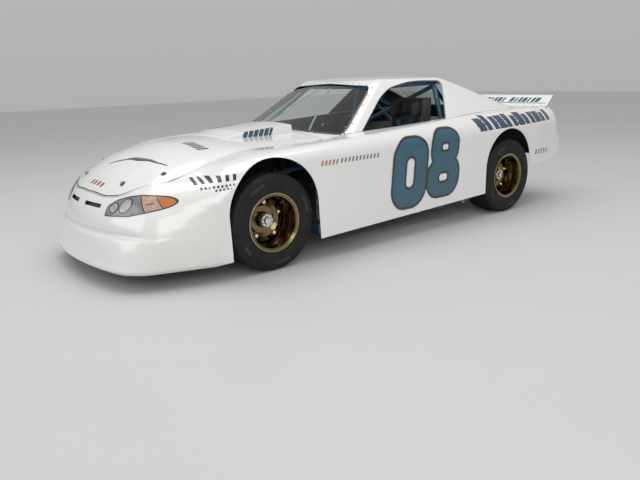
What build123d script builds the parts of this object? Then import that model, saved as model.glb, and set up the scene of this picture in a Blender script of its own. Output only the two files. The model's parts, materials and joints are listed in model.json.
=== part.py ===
import os
from math import asin, cos, radians, sin, sqrt

from build123d import *

os.makedirs("parts", exist_ok=True)

# Sizes in millimetres. The origin is on the floor under the middle of the car:
# x points to the nose, y to the driver's left, z up. Places along the car in the
# tables are counted from the front axle, forward positive, and at() turns them to x.
wheelbase = 2667
front_axle_x = 1298
rear_axle_x = front_axle_x - wheelbase
tyre_radius = 342
tyre_width = 285
tyre_outer_y = 930
flange_radius = 207
bead_radius = 190
rim_lip_y = 922
rim_width = 267
hub_face_y = 753
spindle_radius = 22
bearing_gap = 0.05
half_width = 955
skin = 6
rail_width = 51
rail_height = 76
hoop_tube = 44.5
leg_tube = 41.3
brace_tube = 38.1
seam_gap = 7

nose_seam = 440
door_front = -560
door_rear = -2060
tail_seam = -3440
hood_rear = -672
hood_half = 635
deck_front = -3066
deck_half = 615
kingpin_y = 660


def at(x):
    """Place along the car of a distance from the front axle."""
    return front_axle_x + x


# Side of the body, one row for each station.
# x, bottom of the side, half width, height where the shoulder starts,
# shoulder's inner end (y, z), inner edge of the top flange (y, z)
side_stations = {
    "fender": [
        (440, 60, 925, 500, 790, 670, 640, 722),
        (250, 60, 950, 640, 862, 762, 640, 776),
        (0, 60, 955, 715, 872, 812, 640, 824),
        (-560, 60, 955, 735, 862, 842, 640, 830),
    ],
    "door": [
        (-560, 60, 955, 735, 862, 842, 640, 830),
        (-860, 60, 955, 735, 842, 858, 730, 869),
        (-1400, 60, 955, 735, 838, 886, 770, 894),
        (-2060, 60, 955, 740, 852, 914, 780, 924),
    ],
    "quarter": [
        (-2060, 60, 955, 740, 852, 914, 780, 924),
        (-2667, 60, 952, 760, 866, 926, 700, 942),
        (-3066, 60, 936, 770, 862, 924, 620, 948),
        (-3440, 60, 892, 770, 830, 906, 620, 936),
    ],
}

# Bottom edge of the sides, (x, z) from nose to tail
sill_line = [(440, 136), (320, 136), (-380, 165), (-2290, 228), (-2985, 400), (-3440, 428)]

# Wheel openings: circle centre (x, z), radius, x of the front and rear legs at the bottom
front_arch = (-3, 427, 362, 336, -386)
rear_arch = (-2638, 436, 349, -2285, -2992)


def arch_cutter(arch, reach_in, reach_out):
    """Prism through one side of the body in the shape of a wheel opening."""
    centre_x, centre_z, radius, front_foot, rear_foot = arch
    with BuildPart() as cutter:
        with BuildSketch(Plane.XZ.offset(-reach_out)):
            with BuildLine():
                front_top = (at(centre_x + radius), centre_z)
                rear_top = (at(centre_x - radius), centre_z)
                ThreePointArc(front_top, (at(centre_x), centre_z + radius), rear_top)
                Polyline(rear_top, (at(rear_foot), 0), (at(front_foot), 0), front_top)
            make_face()
        extrude(amount=reach_out - reach_in)
    return cutter.part


def below_sill():
    """Prism that takes away what is lower than the bottom edge of the sides."""
    ends = [(at(x), z) for x, z in sill_line]
    first, last = ends[0], ends[-1]
    with BuildPart() as cutter:
        with BuildSketch(Plane.XZ.offset(-half_width - 50)):
            with BuildLine():
                Polyline((first[0] + 50, first[1]), *ends, (last[0] - 400, last[1]),
                         (last[0] - 400, 0), (first[0] + 50, 0), (first[0] + 50, first[1]))
            make_face()
        extrude(amount=half_width - 300)
    return cutter.part


def side_skin(rows):
    """Thin left side: upright side, round shoulder and top flange, lofted along the car."""
    with BuildPart() as panel:
        for x, foot_z, side_y, turn_z, belt_y, belt_z, edge_y, edge_z in rows:
            rise, run = belt_z - turn_z, side_y - belt_y
            radius = (rise * rise + run * run) / (2 * run)
            inner = radius - skin
            turn = asin(rise / radius) if run <= radius else radians(180) - asin(rise / radius)
            centre_y = side_y - radius
            inner_y, inner_z = centre_y + inner * cos(turn), turn_z + inner * sin(turn)
            mid_y, mid_z = centre_y + inner * cos(turn / 2), turn_z + inner * sin(turn / 2)
            out_y, out_z = centre_y + radius * cos(turn / 2), turn_z + radius * sin(turn / 2)
            with BuildSketch(Plane.YZ.offset(at(x))):
                with BuildLine():
                    Line((side_y, foot_z), (side_y, turn_z))
                    ThreePointArc((side_y, turn_z), (out_y, out_z), (belt_y, belt_z))
                    Polyline((belt_y, belt_z), (edge_y, edge_z), (edge_y, edge_z - skin),
                             (inner_y, inner_z))
                    ThreePointArc((inner_y, inner_z), (mid_y, mid_z), (side_y - skin, turn_z))
                    Polyline((side_y - skin, turn_z), (side_y - skin, foot_z), (side_y, foot_z))
                make_face()
        loft(ruled=True)
    return panel.part


def side_core(rows):
    """Solid under the outer surface of one side, for trimming what stands on it."""
    with BuildPart() as core:
        for x, foot_z, side_y, turn_z, belt_y, belt_z, edge_y, edge_z in rows:
            rise, run = belt_z - turn_z, side_y - belt_y
            radius = (rise * rise + run * run) / (2 * run)
            turn = asin(rise / radius) if run <= radius else radians(180) - asin(rise / radius)
            out_y = side_y - radius + radius * cos(turn / 2)
            out_z = turn_z + radius * sin(turn / 2)
            with BuildSketch(Plane.YZ.offset(at(x))):
                with BuildLine():
                    Line((side_y, 500), (side_y, turn_z))
                    ThreePointArc((side_y, turn_z), (out_y, out_z), (belt_y, belt_z))
                    Polyline((belt_y, belt_z), (edge_y, edge_z), (0, edge_z + 2), (0, 500),
                             (side_y, 500))
                make_face()
        loft(ruled=True)
    return core.part


front_opening = arch_cutter(front_arch, 680, 1000)
rear_opening = arch_cutter(rear_arch, 600, 1000)
under_side = below_sill()
side_panels = {}
for panel_name in side_stations:
    panel = side_skin(side_stations[panel_name]) - under_side
    if panel_name == "fender":
        panel = panel - front_opening
    if panel_name == "quarter":
        panel = panel - rear_opening
    side_panels[panel_name] = panel

for panel_name in side_panels:
    with BuildPart() as left_panel:
        add(side_panels[panel_name])
    left_panel.part.label = panel_name + "_left"
    export_step(left_panel.part, "parts/" + panel_name + "_left.step")
    with BuildPart() as right_panel:
        add(side_panels[panel_name])
        mirror(about=Plane.XZ, mode=Mode.REPLACE)
    right_panel.part.label = panel_name + "_right"
    export_step(right_panel.part, "parts/" + panel_name + "_right.step")


def plan_outline(end_x, end_radius, corner_radius, side_x, side_y, side_slope, back_x, inset=0):
    """Closed plan of the nose or tail at one height: a round end, round corners and slanted
    sides. Slope is how far the side moves out for each step away from the end."""
    way = 1 if end_x > back_x else -1
    end_x = end_x - way * inset
    side_y = side_y - inset * sqrt(1 + side_slope * side_slope)
    end_radius, corner_radius = end_radius - inset, corner_radius - inset
    lean = sqrt(1 + side_slope * side_slope)
    # corner's centre is on the side's line moved in by the corner radius,
    # and end_radius - corner_radius from the centre of the end's arc
    origin = end_x - way * end_radius
    offset_y = side_y - corner_radius * lean
    reach = end_radius - corner_radius
    run = way * (side_x - origin)
    a = 1 + side_slope * side_slope
    b = 2 * (offset_y + side_slope * run) * -side_slope
    c = (offset_y + side_slope * run) ** 2 - reach * reach
    along = (-b + sqrt(b * b - 4 * a * c)) / (2 * a)
    corner_y = offset_y + side_slope * (run - along)
    corner_x = origin + way * along
    end_dx, end_dy = way * along / reach, corner_y / reach
    join = (corner_x + corner_radius * end_dx, corner_y + corner_radius * end_dy)
    foot = (corner_x + corner_radius * way * side_slope / lean, corner_y + corner_radius / lean)
    mid = ((join[0] + foot[0]) / 2 - corner_x, (join[1] + foot[1]) / 2 - corner_y)
    stretch = corner_radius / sqrt(mid[0] ** 2 + mid[1] ** 2)
    mid = (corner_x + mid[0] * stretch, corner_y + mid[1] * stretch)
    back = (back_x, side_y + side_slope * way * (side_x - back_x))

    def other(point):
        return (point[0], -point[1])

    with BuildLine() as outline:
        Line(back, foot)
        ThreePointArc(foot, mid, join)
        ThreePointArc(join, (end_x, 0), other(join))
        ThreePointArc(other(join), other(mid), other(foot))
        Polyline(other(foot), other(back), back)
    return outline.line


# Nose, level by level: height, front, radius of the front, corner radius,
# half width at the seam, slope of the side
nose_levels = [
    (114, 1072, 2300, 290, 880, 0.33),
    (138, 1094, 2300, 300, 900, 0.33),
    (182, 1082, 2200, 300, 908, 0.33),
    (330, 1052, 1700, 290, 920, 0.33),
    (344, 1040, 1700, 280, 920, 0.34),
    (412, 1026, 1600, 265, 925, 0.42),
    (480, 1002, 1500, 250, 925, 0.52),
    (530, 972, 1500, 245, 922, 0.64),
    (578, 932, 1500, 240, 907, 0.74),
    (608, 902, 1500, 240, 888, 0.80),
    (634, 870, 1500, 240, 862, 0.85),
    (661, 830, 1500, 230, 818, 0.91),
    (675, 808, 1500, 225, 776, 0.94),
    (701, 760, 1500, 210, 701, 0.95),
    (725, 715, 1500, 200, 631, 0.95),
    (747, 668, 1500, 190, 568, 0.95),
]


def nose_block(inset):
    """Nose as a solid, ruled between its levels."""
    with BuildPart() as block:
        for z, front, end_radius, corner, side_y, slope in nose_levels:
            with BuildSketch(Plane.XY.offset(z - (inset if z > 600 else 0))):
                with BuildLine():
                    add(plan_outline(at(front), end_radius, corner, at(nose_seam), side_y, slope,
                                     at(nose_seam), inset))
                make_face()
        loft(ruled=True)
    return block.part


# Hood, profile by profile across the car: y, then the heights of its top line at the
# places in hood_places, flat over the first two and falling in two arcs to the last
hood_places = (-672, 0, 300, 560, 760, 985)
hood_rows = [
    (0, 880, 878, 868, 818, 728, 518),
    (330, 866, 860, 840, 791, 696, 502),
    (560, 842, 836, 794, 722, 618, 468),
    (660, 828, 818, 765, 677, 571, 446),
]


def hood_sheet(lower, thick):
    """Sheet that follows the top of the hood, lowered by lower and as thick as thick."""
    across = [(-y, *heights) for y, *heights in reversed(hood_rows[1:])] + hood_rows
    with BuildPart() as sheet:
        for y, *heights in across:
            top = [(at(x), z - lower) for x, z in zip(hood_places, heights)]
            foot = [(x, z - thick) for x, z in top]
            with BuildSketch(Plane.XZ.offset(-y)):
                with BuildLine():
                    Line(top[0], top[1])
                    ThreePointArc(top[1], top[2], top[3])
                    ThreePointArc(top[3], top[4], top[5])
                    Line(top[5], foot[5])
                    ThreePointArc(foot[5], foot[4], foot[3])
                    ThreePointArc(foot[3], foot[2], foot[1])
                    Polyline(foot[1], foot[0], top[0])
                make_face()
        loft()
    return sheet.part


# Hood's edge in plan, left half, from the middle of the front to the rear corner
hood_edge = [(925, 0), (913, 220), (868, 390), (742, 540), (600, 628), (560, hood_half)]


def hood_plan(grow, rear_x, low_z, high_z):
    """Upright prism inside the hood's edge, grown by grow."""
    left = [(at(x) + grow, y + (grow if y else 0)) for x, y in hood_edge]
    right = [(x, -y) for x, y in reversed(left[1:])]
    with BuildPart() as prism:
        with BuildSketch(Plane.XY.offset(low_z)):
            with BuildLine():
                Polyline(left[0], *left[1:], (at(rear_x), left[-1][1]), (at(rear_x), -left[-1][1]),
                         *right, left[0])
            make_face()
        extrude(amount=high_z - low_z)
    return prism.part


hood_surface = hood_sheet(0, skin)
with BuildPart() as hood:
    add(hood_surface)
    add(hood_plan(0, hood_rear, 400, 1000), mode=Mode.INTERSECT)
hood.part.label = "hood"
export_step(hood.part, "parts/hood.step")

nose_outside = nose_block(0)
nose_hollow = nose_block(skin)
hood_hole = hood_plan(seam_gap, hood_rear - 10, 400, 1000)
# Grille slots: middle y and half width, cut through the front of the nose
slot_rows = [(175, 135), (-175, 135)]
slot_low, slot_high = 500, 530
with BuildPart() as nose:
    add(nose_outside)
    add(nose_hollow, mode=Mode.SUBTRACT)
    add(hood_hole, mode=Mode.SUBTRACT)
    with BuildSketch(Plane.YZ.offset(at(880))):
        for slot_y, slot_half in slot_rows:
            with Locations((slot_y, (slot_low + slot_high) / 2)):
                SlotOverall(2 * slot_half, slot_high - slot_low)
    extrude(amount=250, mode=Mode.SUBTRACT)
nose.part.label = "nose"
export_step(nose.part, "parts/nose.step")

# Headlamps: thin lenses laid on the nose, teardrops when seen from ahead, (y, z)
lamp_proud = 3
lamp_inner_tip, lamp_outer_tip = (415, 478), (757, 557)
lamp_low, lamp_high = (592, 464), (556, 598)
with BuildPart() as lamp_outline:
    with BuildSketch(Plane.YZ.offset(at(500))):
        with BuildLine():
            ThreePointArc(lamp_inner_tip, lamp_low, lamp_outer_tip)
            ThreePointArc(lamp_outer_tip, lamp_high, lamp_inner_tip)
        make_face()
    extrude(amount=600)
    mirror(about=Plane.XZ)
with BuildPart() as headlamps:
    add(nose_block(-lamp_proud))
    add(lamp_outline.part, mode=Mode.INTERSECT)
    add(nose_outside, mode=Mode.SUBTRACT)
    add(hood_hole, mode=Mode.SUBTRACT)
headlamps.part.label = "headlamps"
export_step(headlamps.part, "parts/headlamps.step")

# Tail cover, level by level: as the nose, with the rear instead of the front
tail_levels = [
    (424, -3658, 7000, 96, 884, 0.10),
    (434, -3678, 7000, 100, 889, 0.10),
    (452, -3694, 7000, 104, 892, 0.10),
    (500, -3708, 7000, 108, 892, 0.10),
    (560, -3714, 7000, 110, 892, 0.10),
    (596, -3706, 7000, 106, 892, 0.10),
    (624, -3682, 7000, 96, 892, 0.10),
    (650, -3652, 7000, 84, 892, 0.10),
    (684, -3628, 7000, 74, 892, 0.11),
    (770, -3596, 7000, 62, 892, 0.12),
    (840, -3578, 7000, 54, 877, 0.14),
    (890, -3566, 7000, 46, 846, 0.16),
    (928, -3560, 7000, 43, 804, 0.18),
]


def tail_block(inset):
    """Tail cover as a solid, ruled between its levels."""
    with BuildPart() as block:
        for z, rear, end_radius, corner, side_y, slope in tail_levels:
            with BuildSketch(Plane.XY.offset(z - (inset if z > 850 else 0))):
                with BuildLine():
                    add(plan_outline(at(rear), end_radius, corner, at(tail_seam), side_y, slope,
                                     at(tail_seam), inset))
                make_face()
        loft(ruled=True)
    return block.part


with BuildPart() as tail_cover:
    add(tail_block(0))
    add(tail_block(skin), mode=Mode.SUBTRACT)
tail_cover.part.label = "tail_cover"
export_step(tail_cover.part, "parts/tail_cover.step")

# Deck lid between the quarters, and the spoiler that stands on its rear edge
deck_rows = [(0, 958, 944), (205, 957, 943), (410, 954, 941), (deck_half, 948, 936)]
with BuildPart() as deck_lid:
    across = [(-y, front_z, rear_z) for y, front_z, rear_z in reversed(deck_rows[1:])] + deck_rows
    for y, front_z, rear_z in across:
        with BuildSketch(Plane.XZ.offset(-y)):
            with BuildLine():
                Polyline((at(deck_front) - seam_gap, front_z), (at(tail_seam) + seam_gap, rear_z),
                         (at(tail_seam) + seam_gap, rear_z - skin),
                         (at(deck_front) - seam_gap, front_z - skin),
                         (at(deck_front) - seam_gap, front_z))
            make_face()
    loft(ruled=True)
deck_lid.part.label = "deck_lid"
export_step(deck_lid.part, "parts/deck_lid.step")

spoiler_foot_x, spoiler_foot_z = -3530, 935
spoiler_top_x, spoiler_top_z = -3640, 1042
spoiler_half = 745
with BuildPart() as spoiler:
    with BuildSketch(Plane.XZ.offset(spoiler_half)):
        with BuildLine():
            Polyline((at(spoiler_foot_x) + 45, spoiler_foot_z - 4), (at(spoiler_foot_x) + 45, spoiler_foot_z),
                     (at(spoiler_foot_x), spoiler_foot_z), (at(spoiler_top_x), spoiler_top_z),
                     (at(spoiler_top_x) - 4, spoiler_top_z - 4), (at(spoiler_foot_x) - 2, spoiler_foot_z - 4),
                     (at(spoiler_foot_x) + 45, spoiler_foot_z - 4))
        make_face()
    extrude(amount=-2 * spoiler_half)
spoiler.part.label = "spoiler"
export_step(spoiler.part, "parts/spoiler.step")

# Cabin top: plan at the low level and at the roof line, corner by corner on the left:
# windshield middle, windshield corner, door post, rear corner
cabin_low_z, cabin_high_z = 800, 1242
cabin_low = [(-590, 0), (-740, 771), (-1950, 900), (-3490, 730)]
cabin_high = [(-1270, 0), (-1348, 508), (-1950, 556), (-2225, 525)]


def cabin_block(inset):
    """Cabin top as a solid: slanted windshield, sides and rear under a crowned roof."""
    with BuildPart() as block:
        for z, corners in ((cabin_low_z, cabin_low), (1300, None)):
            if corners is None:
                rise = (z - cabin_low_z) / (cabin_high_z - cabin_low_z)
                corners = [(low[0] + (high[0] - low[0]) * rise, low[1] + (high[1] - low[1]) * rise)
                           for low, high in zip(cabin_low, cabin_high)]
            middle, corner, post, rear = corners
            front_x, corner_x = at(middle[0]) - inset * 1.7, at(corner[0]) - inset * 1.7
            rear_x = at(rear[0]) + inset * 2.9
            corner_y, post_y, rear_y = (point[1] - inset * 1.25 for point in (corner, post, rear))
            with BuildSketch(Plane.XY.offset(z)):
                with BuildLine():
                    ThreePointArc((corner_x, corner_y), (front_x, 0), (corner_x, -corner_y))
                    Polyline((corner_x, -corner_y), (at(post[0]), -post_y), (rear_x, -rear_y),
                             (rear_x, rear_y), (at(post[0]), post_y), (corner_x, corner_y))
                make_face()
        loft(ruled=True)
        with BuildSketch(Plane.XZ.offset(-1000)):
            with BuildLine():
                ThreePointArc((at(-700), 1090 - inset), (at(-1760), 1281 - inset),
                              (at(-2800), 1096 - inset))
                Polyline((at(-2800), 1096 - inset), (at(-3700), 900), (at(-3700), 700),
                         (at(-400), 700), (at(-700), 1090 - inset))
            make_face()
        extrude(amount=2000, mode=Mode.INTERSECT)
        with BuildSketch(Plane.YZ.offset(at(-400))):
            with BuildLine():
                ThreePointArc((1000, 1190 - inset), (0, 1280 - inset), (-1000, 1190 - inset))
                Polyline((-1000, 1190 - inset), (-1000, 700), (1000, 700), (1000, 1190 - inset))
            make_face()
        extrude(amount=-3400, mode=Mode.INTERSECT)
    return block.part


def window_prism(points, plane, depth):
    """Straight cut through a window's outline."""
    with BuildPart() as prism:
        with BuildSketch(plane) as outline:
            with BuildLine():
                Polyline(*points, points[0])
            make_face()
            fillet(outline.vertices(), radius=40)
        extrude(amount=depth)
    return prism.part


windshield_outline = [(706, 864), (502, 1212), (0, 1236), (-502, 1212), (-706, 864), (0, 892)]
rear_window_outline = [(590, 962), (452, 1204), (-452, 1204), (-590, 962)]
side_window_outline = [(at(-900), 811), (at(-1299), 1099), (at(-1374), 1142), (at(-1463), 1184),
                       (at(-1602), 1212), (at(-1716), 1228), (at(-1850), 1234), (at(-2122), 1226),
                       (at(-1852), 850)]

cabin_outside = cabin_block(0)
cabin_hollow = cabin_block(skin)
cabin_shell = cabin_outside - cabin_hollow
front_glass_cut = window_prism(windshield_outline, Plane.YZ.offset(at(-1500)), 1000)
rear_glass_cut = window_prism(rear_window_outline, Plane.YZ.offset(at(-2150)), -1500)
side_cut = window_prism(side_window_outline, Plane.XZ.offset(-1000), 2000)
body_core = side_core(side_stations["door"])
deck_core = side_core(side_stations["quarter"])
deck_block = Pos(at(-3290), 0, 750) * Box(448, 1900, 420)
front_block = Pos(at(-560), 0, 750) * Box(400, 2200, 240)

with BuildPart() as windshield:
    add(cabin_shell)
    add(front_glass_cut, mode=Mode.INTERSECT)
windshield.part.label = "windshield"
export_step(windshield.part, "parts/windshield.step")

with BuildPart() as rear_window:
    add(cabin_shell)
    add(rear_glass_cut, mode=Mode.INTERSECT)
rear_window.part.label = "rear_window"
export_step(rear_window.part, "parts/rear_window.step")

with BuildPart() as roof:
    add(cabin_shell)
    for cut in (front_glass_cut, rear_glass_cut, side_cut, body_core, deck_core,
                deck_core.mirror(Plane.XZ), body_core.mirror(Plane.XZ), deck_block, front_block):
        add(cut, mode=Mode.SUBTRACT)
roof.part.label = "roof"
export_step(roof.part, "parts/roof.step")

# Cowl strip between the hood's rear edge and the windshield
with BuildPart() as cowl:
    for x, half, edge_z, middle_z in ((hood_rear - 8, 640, 832, 881), (-900, 735, 868, 892)):
        with BuildSketch(Plane.YZ.offset(at(x))):
            with BuildLine():
                ThreePointArc((half, edge_z), (0, middle_z), (-half, edge_z))
                Line((-half, edge_z), (-half, edge_z - skin))
                ThreePointArc((-half, edge_z - skin), (0, middle_z - skin), (half, edge_z - skin))
                Line((half, edge_z - skin), (half, edge_z))
            make_face()
    loft(ruled=True)
    add(cabin_outside, mode=Mode.SUBTRACT)
    with Locations((at(-1000), 0, 850)):
        Box(240, 1600, 200, mode=Mode.SUBTRACT)
cowl.part.label = "cowl"
export_step(cowl.part, "parts/cowl.step")

# Cold-air scoop on the hood: a low tapered box, open to the windshield
scoop_front_x, scoop_rear_x, scoop_half = -20, -632, 300
scoop_rows = [(scoop_front_x, 250, 883), (-180, 285, 918), (scoop_rear_x, scoop_half, 946)]


def scoop_block(inset):
    """Scoop as a solid, from its low front to its tall rear."""
    with BuildPart() as block:
        for x, half, top_z in scoop_rows:
            reach = inset * 4 if x == scoop_front_x else (inset if x == scoop_rear_x else 0)
            with BuildSketch(Plane.YZ.offset(at(x) - reach)):
                with BuildLine():
                    Polyline((half - inset, 800), (half - inset - 12, top_z - 14 - inset))
                    ThreePointArc((half - inset - 12, top_z - 14 - inset), (0, top_z - inset),
                                  (12 + inset - half, top_z - 14 - inset))
                    Polyline((12 + inset - half, top_z - 14 - inset), (inset - half, 800),
                             (half - inset, 800))
                make_face()
        loft(ruled=True)
    return block.part


hood_under = hood_sheet(0, 150)
with BuildPart() as scoop:
    add(scoop_block(0))
    add(scoop_block(4), mode=Mode.SUBTRACT)
    add(hood_under, mode=Mode.SUBTRACT)
scoop.part.label = "scoop"
export_step(scoop.part, "parts/scoop.step")


def beam(start, end, width, height):
    """Straight bar of rectangular section from start to end, width across, height upwards."""
    run = Vector(*end) - Vector(*start)
    across = Vector(0, 0, 1).cross(run) if abs(run.X) + abs(run.Y) > 1e-6 else Vector(0, 1, 0)
    with BuildPart() as bar:
        with BuildSketch(Plane(origin=start, x_dir=across, z_dir=run)):
            Rectangle(width, height)
        extrude(amount=run.length)
    return bar.part


def rod(start, end, diameter):
    """Straight round bar from start to end."""
    run = Vector(*end) - Vector(*start)
    with BuildPart() as bar:
        with BuildSketch(Plane(origin=start, z_dir=run)):
            Circle(diameter / 2)
        extrude(amount=run.length)
    return bar.part


def bent_tube(points, bend, diameter):
    """Round tube along points, with its corners bent to one radius."""
    with BuildPart() as tube:
        with BuildLine() as path:
            FilletPolyline(*points, radius=bend)
        with BuildSketch(Plane(origin=path.line @ 0, z_dir=path.line % 0)):
            Circle(diameter / 2)
        sweep(path=path.line)
    return tube.part


def write(name, pieces, cuts=()):
    """Join pieces into one node and write it."""
    with BuildPart() as node:
        for piece in pieces:
            add(piece)
        for cut in cuts:
            add(cut, mode=Mode.SUBTRACT)
    node.part.label = name
    export_step(node.part, "parts/" + name + ".step")
    return node.part


def fitted(pieces, others=()):
    """Pieces cut in turn to fit against others and against the ones before them."""
    kept = []
    for piece in pieces:
        for solid in (piece - [*others, *kept]).solids():
            kept.append(solid)
    return kept


def write_fitted(name, pieces, others=()):
    """Write one node of welded or riveted pieces, each a solid that meets its neighbours."""
    node = Compound(label=name, children=fitted(pieces, others))
    export_step(node, "parts/" + name + ".step")
    return node


def both_sides(pieces):
    """Pieces of the left side and their mirror images."""
    return list(pieces) + [piece.mirror(Plane.XZ) for piece in pieces]


# Chassis: main rails under the doors, front rails, rear rails over the axle.
# start (x, y, z), end (x, y, z), all on the left
main_z, front_z, kick_z = 150, 330, 462
rail_top_z = main_z + rail_height / 2
front_rail_y, main_rail_y, rear_rail_y = 385, 640, 455
frame_beams = [
    ((-580, main_rail_y, main_z), (-2110, main_rail_y, main_z)),
    ((-605, front_rail_y, main_z), (-350, front_rail_y, front_z)),
    ((-365, front_rail_y, front_z), (700, front_rail_y, front_z)),
    ((25, front_rail_y, 142), (25, front_rail_y, front_z)),
    ((-2085, rear_rail_y, main_z), (-2330, rear_rail_y, kick_z)),
    ((-2310, rear_rail_y, kick_z), (-3420, rear_rail_y, kick_z)),
]
# Cross beams: x, half length, z
cross_beams = [(-605, 665, main_z), (-2085, 665, main_z), (25, front_rail_y, 178),
               (680, front_rail_y, front_z), (-2340, rear_rail_y, kick_z + 10),
               (-2890, rear_rail_y, kick_z), (-3398, rear_rail_y, kick_z), (-1270, main_rail_y, main_z)]
# Body brackets that carry the doors: x
door_bracket_xs = (-860, -1400, -1980)
frame_pieces = both_sides([beam((at(a[0]), a[1], a[2]), (at(b[0]), b[1], b[2]), rail_width,
                                rail_height) for a, b in frame_beams])
frame_pieces += [beam((at(x), -half, z), (at(x), half, z), rail_width, rail_height)
                 for x, half, z in cross_beams]
frame_pieces += both_sides([beam((at(x), main_rail_y, rail_top_z + 15), (at(x), half_width - skin,
                            rail_top_z + 15), 30, 30) for x in door_bracket_xs])
# Towers over the front suspension and shock towers over the rear axle
tower_top_z = 560
arm_foot_x, tower_y = 185, 430.5
frame_pieces += both_sides([beam((at(x), tower_y, 198), (at(x), tower_y, tower_top_z), 40, 40)
                            for x in (-arm_foot_x, arm_foot_x)])
frame_pieces += both_sides([beam((at(-165), tower_y, 540), (at(165), tower_y, 540), 40, 40)])
# Jack pads under the main rails, and tow eyes under the end cross beams
pad_long, pad_wide, pad_thick = 110, 90, 8
frame_pieces += both_sides([Pos(at(x), main_rail_y, main_z - (rail_height + pad_thick) / 2)
                            * Box(pad_long, pad_wide, pad_thick) for x in (-700, -1990)])
eye_thick, eye_radius, eye_drop = 14, 16, 28


def tow_eye(x, beam_z):
    """Upright plate with one hole across the car, under a cross beam."""
    low_z = beam_z - rail_height / 2
    with BuildPart() as plate:
        with BuildSketch(Plane.XZ.offset(-eye_thick / 2)):
            with Locations((at(x), low_z - eye_drop + 12)):
                Rectangle(72, 80)
            with Locations((at(x), low_z - eye_drop)):
                Circle(eye_radius, mode=Mode.SUBTRACT)
        extrude(amount=eye_thick)
    return plate.part


frame_pieces += [tow_eye(692, front_z), tow_eye(-3398, kick_z)]
frame = write_fitted("frame", frame_pieces)

# Roll cage, left half and the bars that cross
hoop_x, hoop_half, hoop_top_z, cage_y = -2085, 490, 1222, 600
halo_x, halo_y, halo_z = -1395, 455, 1200
leg_x, leg_y = -680, 628
knee_x, knee_z = -905, 825
knee = (at(knee_x), leg_y, knee_z)
halo = (at(halo_x), halo_y, halo_z)
hoop_shoulder = (at(hoop_x), hoop_half, hoop_top_z - 40)
# Door bars: height, and where each starts on the front leg
door_bars = [(330, -730), (490, -787), (650, -843)]
front_bar = [(at(-861), leg_y, 700), (at(60), front_rail_y, tower_top_z - 40),
             (at(695), front_rail_y, front_z + 34)]
hoop_tube_run = bent_tube([(at(hoop_x), -cage_y, rail_top_z), (at(hoop_x), -cage_y, 880),
                           (at(hoop_x), -hoop_half, hoop_top_z), (at(hoop_x), hoop_half, hoop_top_z),
                           (at(hoop_x), cage_y, 880), (at(hoop_x), cage_y, rail_top_z)], 110, hoop_tube)
main_hoop = write_fitted("main_hoop", [hoop_tube_run], [frame])
legs = both_sides([bent_tube([(at(leg_x + 12), leg_y, rail_top_z - 34), knee, halo,
                              (at(hoop_x), halo_y, hoop_top_z - 8)], 90, leg_tube)])
cage_bars = both_sides([rod((at(x), leg_y, z), (at(hoop_x), cage_y, z), brace_tube) for z, x in door_bars]
                       + [rod(hoop_shoulder, (at(-2920), rear_rail_y, kick_z + 12), brace_tube),
                          bent_tube(front_bar, 80, brace_tube)])
# The two diagonals of the main hoop pass each other with a little room
cross_apart, cross_low_z = 20, 775
cage_across = [
    rod((at(halo_x), -halo_y, halo_z), (at(halo_x), halo_y, halo_z), brace_tube),
    rod((at(knee_x), -leg_y, knee_z - 13), (at(knee_x), leg_y, knee_z - 13), brace_tube),
    rod((at(hoop_x), -600, 700), (at(hoop_x), 600, 700), brace_tube),
    rod((at(hoop_x) + cross_apart, -462, 1180), (at(hoop_x) + cross_apart, 592, cross_low_z), brace_tube),
    rod((at(hoop_x) - cross_apart, 462, 1180), (at(hoop_x) - cross_apart, -592, cross_low_z), brace_tube),
]
under_legs = both_sides([Pos(at(leg_x), leg_y, rail_top_z - 60) * Box(200, 200, 120)])
cage = write_fitted("roll_cage", legs + cage_bars + cage_across, [frame, main_hoop] + under_legs)

# Engine as one plain block, set back and low, and the drive line behind it
engine_front_x, engine_rear_x = 20, -590
engine = write("engine", [Pos(at((engine_front_x + engine_rear_x) / 2), 0, 470)
                          * Box(engine_front_x - engine_rear_x, 520, 500)])
gearbox_rows = [(engine_rear_x, 152), (-670, 148), (-720, 115), (-1180, 105), (-1230, 60)]
shaft_z = 342
with BuildPart() as gearbox:
    with BuildSketch(Plane.XZ):
        with BuildLine():
            Polyline((at(gearbox_rows[0][0]), shaft_z), *[(at(x), shaft_z + r) for x, r in gearbox_rows],
                     (at(gearbox_rows[-1][0]), shaft_z), (at(gearbox_rows[0][0]), shaft_z))
        make_face()
    revolve(axis=Axis((0, 0, shaft_z), (1, 0, 0)))
gearbox.part.label = "gearbox"
export_step(gearbox.part, "parts/gearbox.step")
pinion_x = -2440
drive_shaft = write("drive_shaft", [rod((at(-1230), 0, shaft_z), (at(pinion_x), 0, shaft_z), 76)])

# Rear axle: tube, centre casing with its pinion snout, and the spindles for the hubs
casing_radius = 135
spindle_end_y = 812
rear_axle_pieces = [
    rod((rear_axle_x, -640, shaft_z), (rear_axle_x, 640, shaft_z), 76),
    rod((rear_axle_x, -85, shaft_z), (rear_axle_x, 85, shaft_z), 2 * casing_radius),
    rod((rear_axle_x, 0, shaft_z), (at(pinion_x), 0, shaft_z), 110),
    rod((rear_axle_x, -spindle_end_y, shaft_z), (rear_axle_x, spindle_end_y, shaft_z),
        2 * spindle_radius),
]
rotor_in_y, rotor_out_y, rotor_radius = 704, 730, 150
caliper_gap = 2


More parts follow.
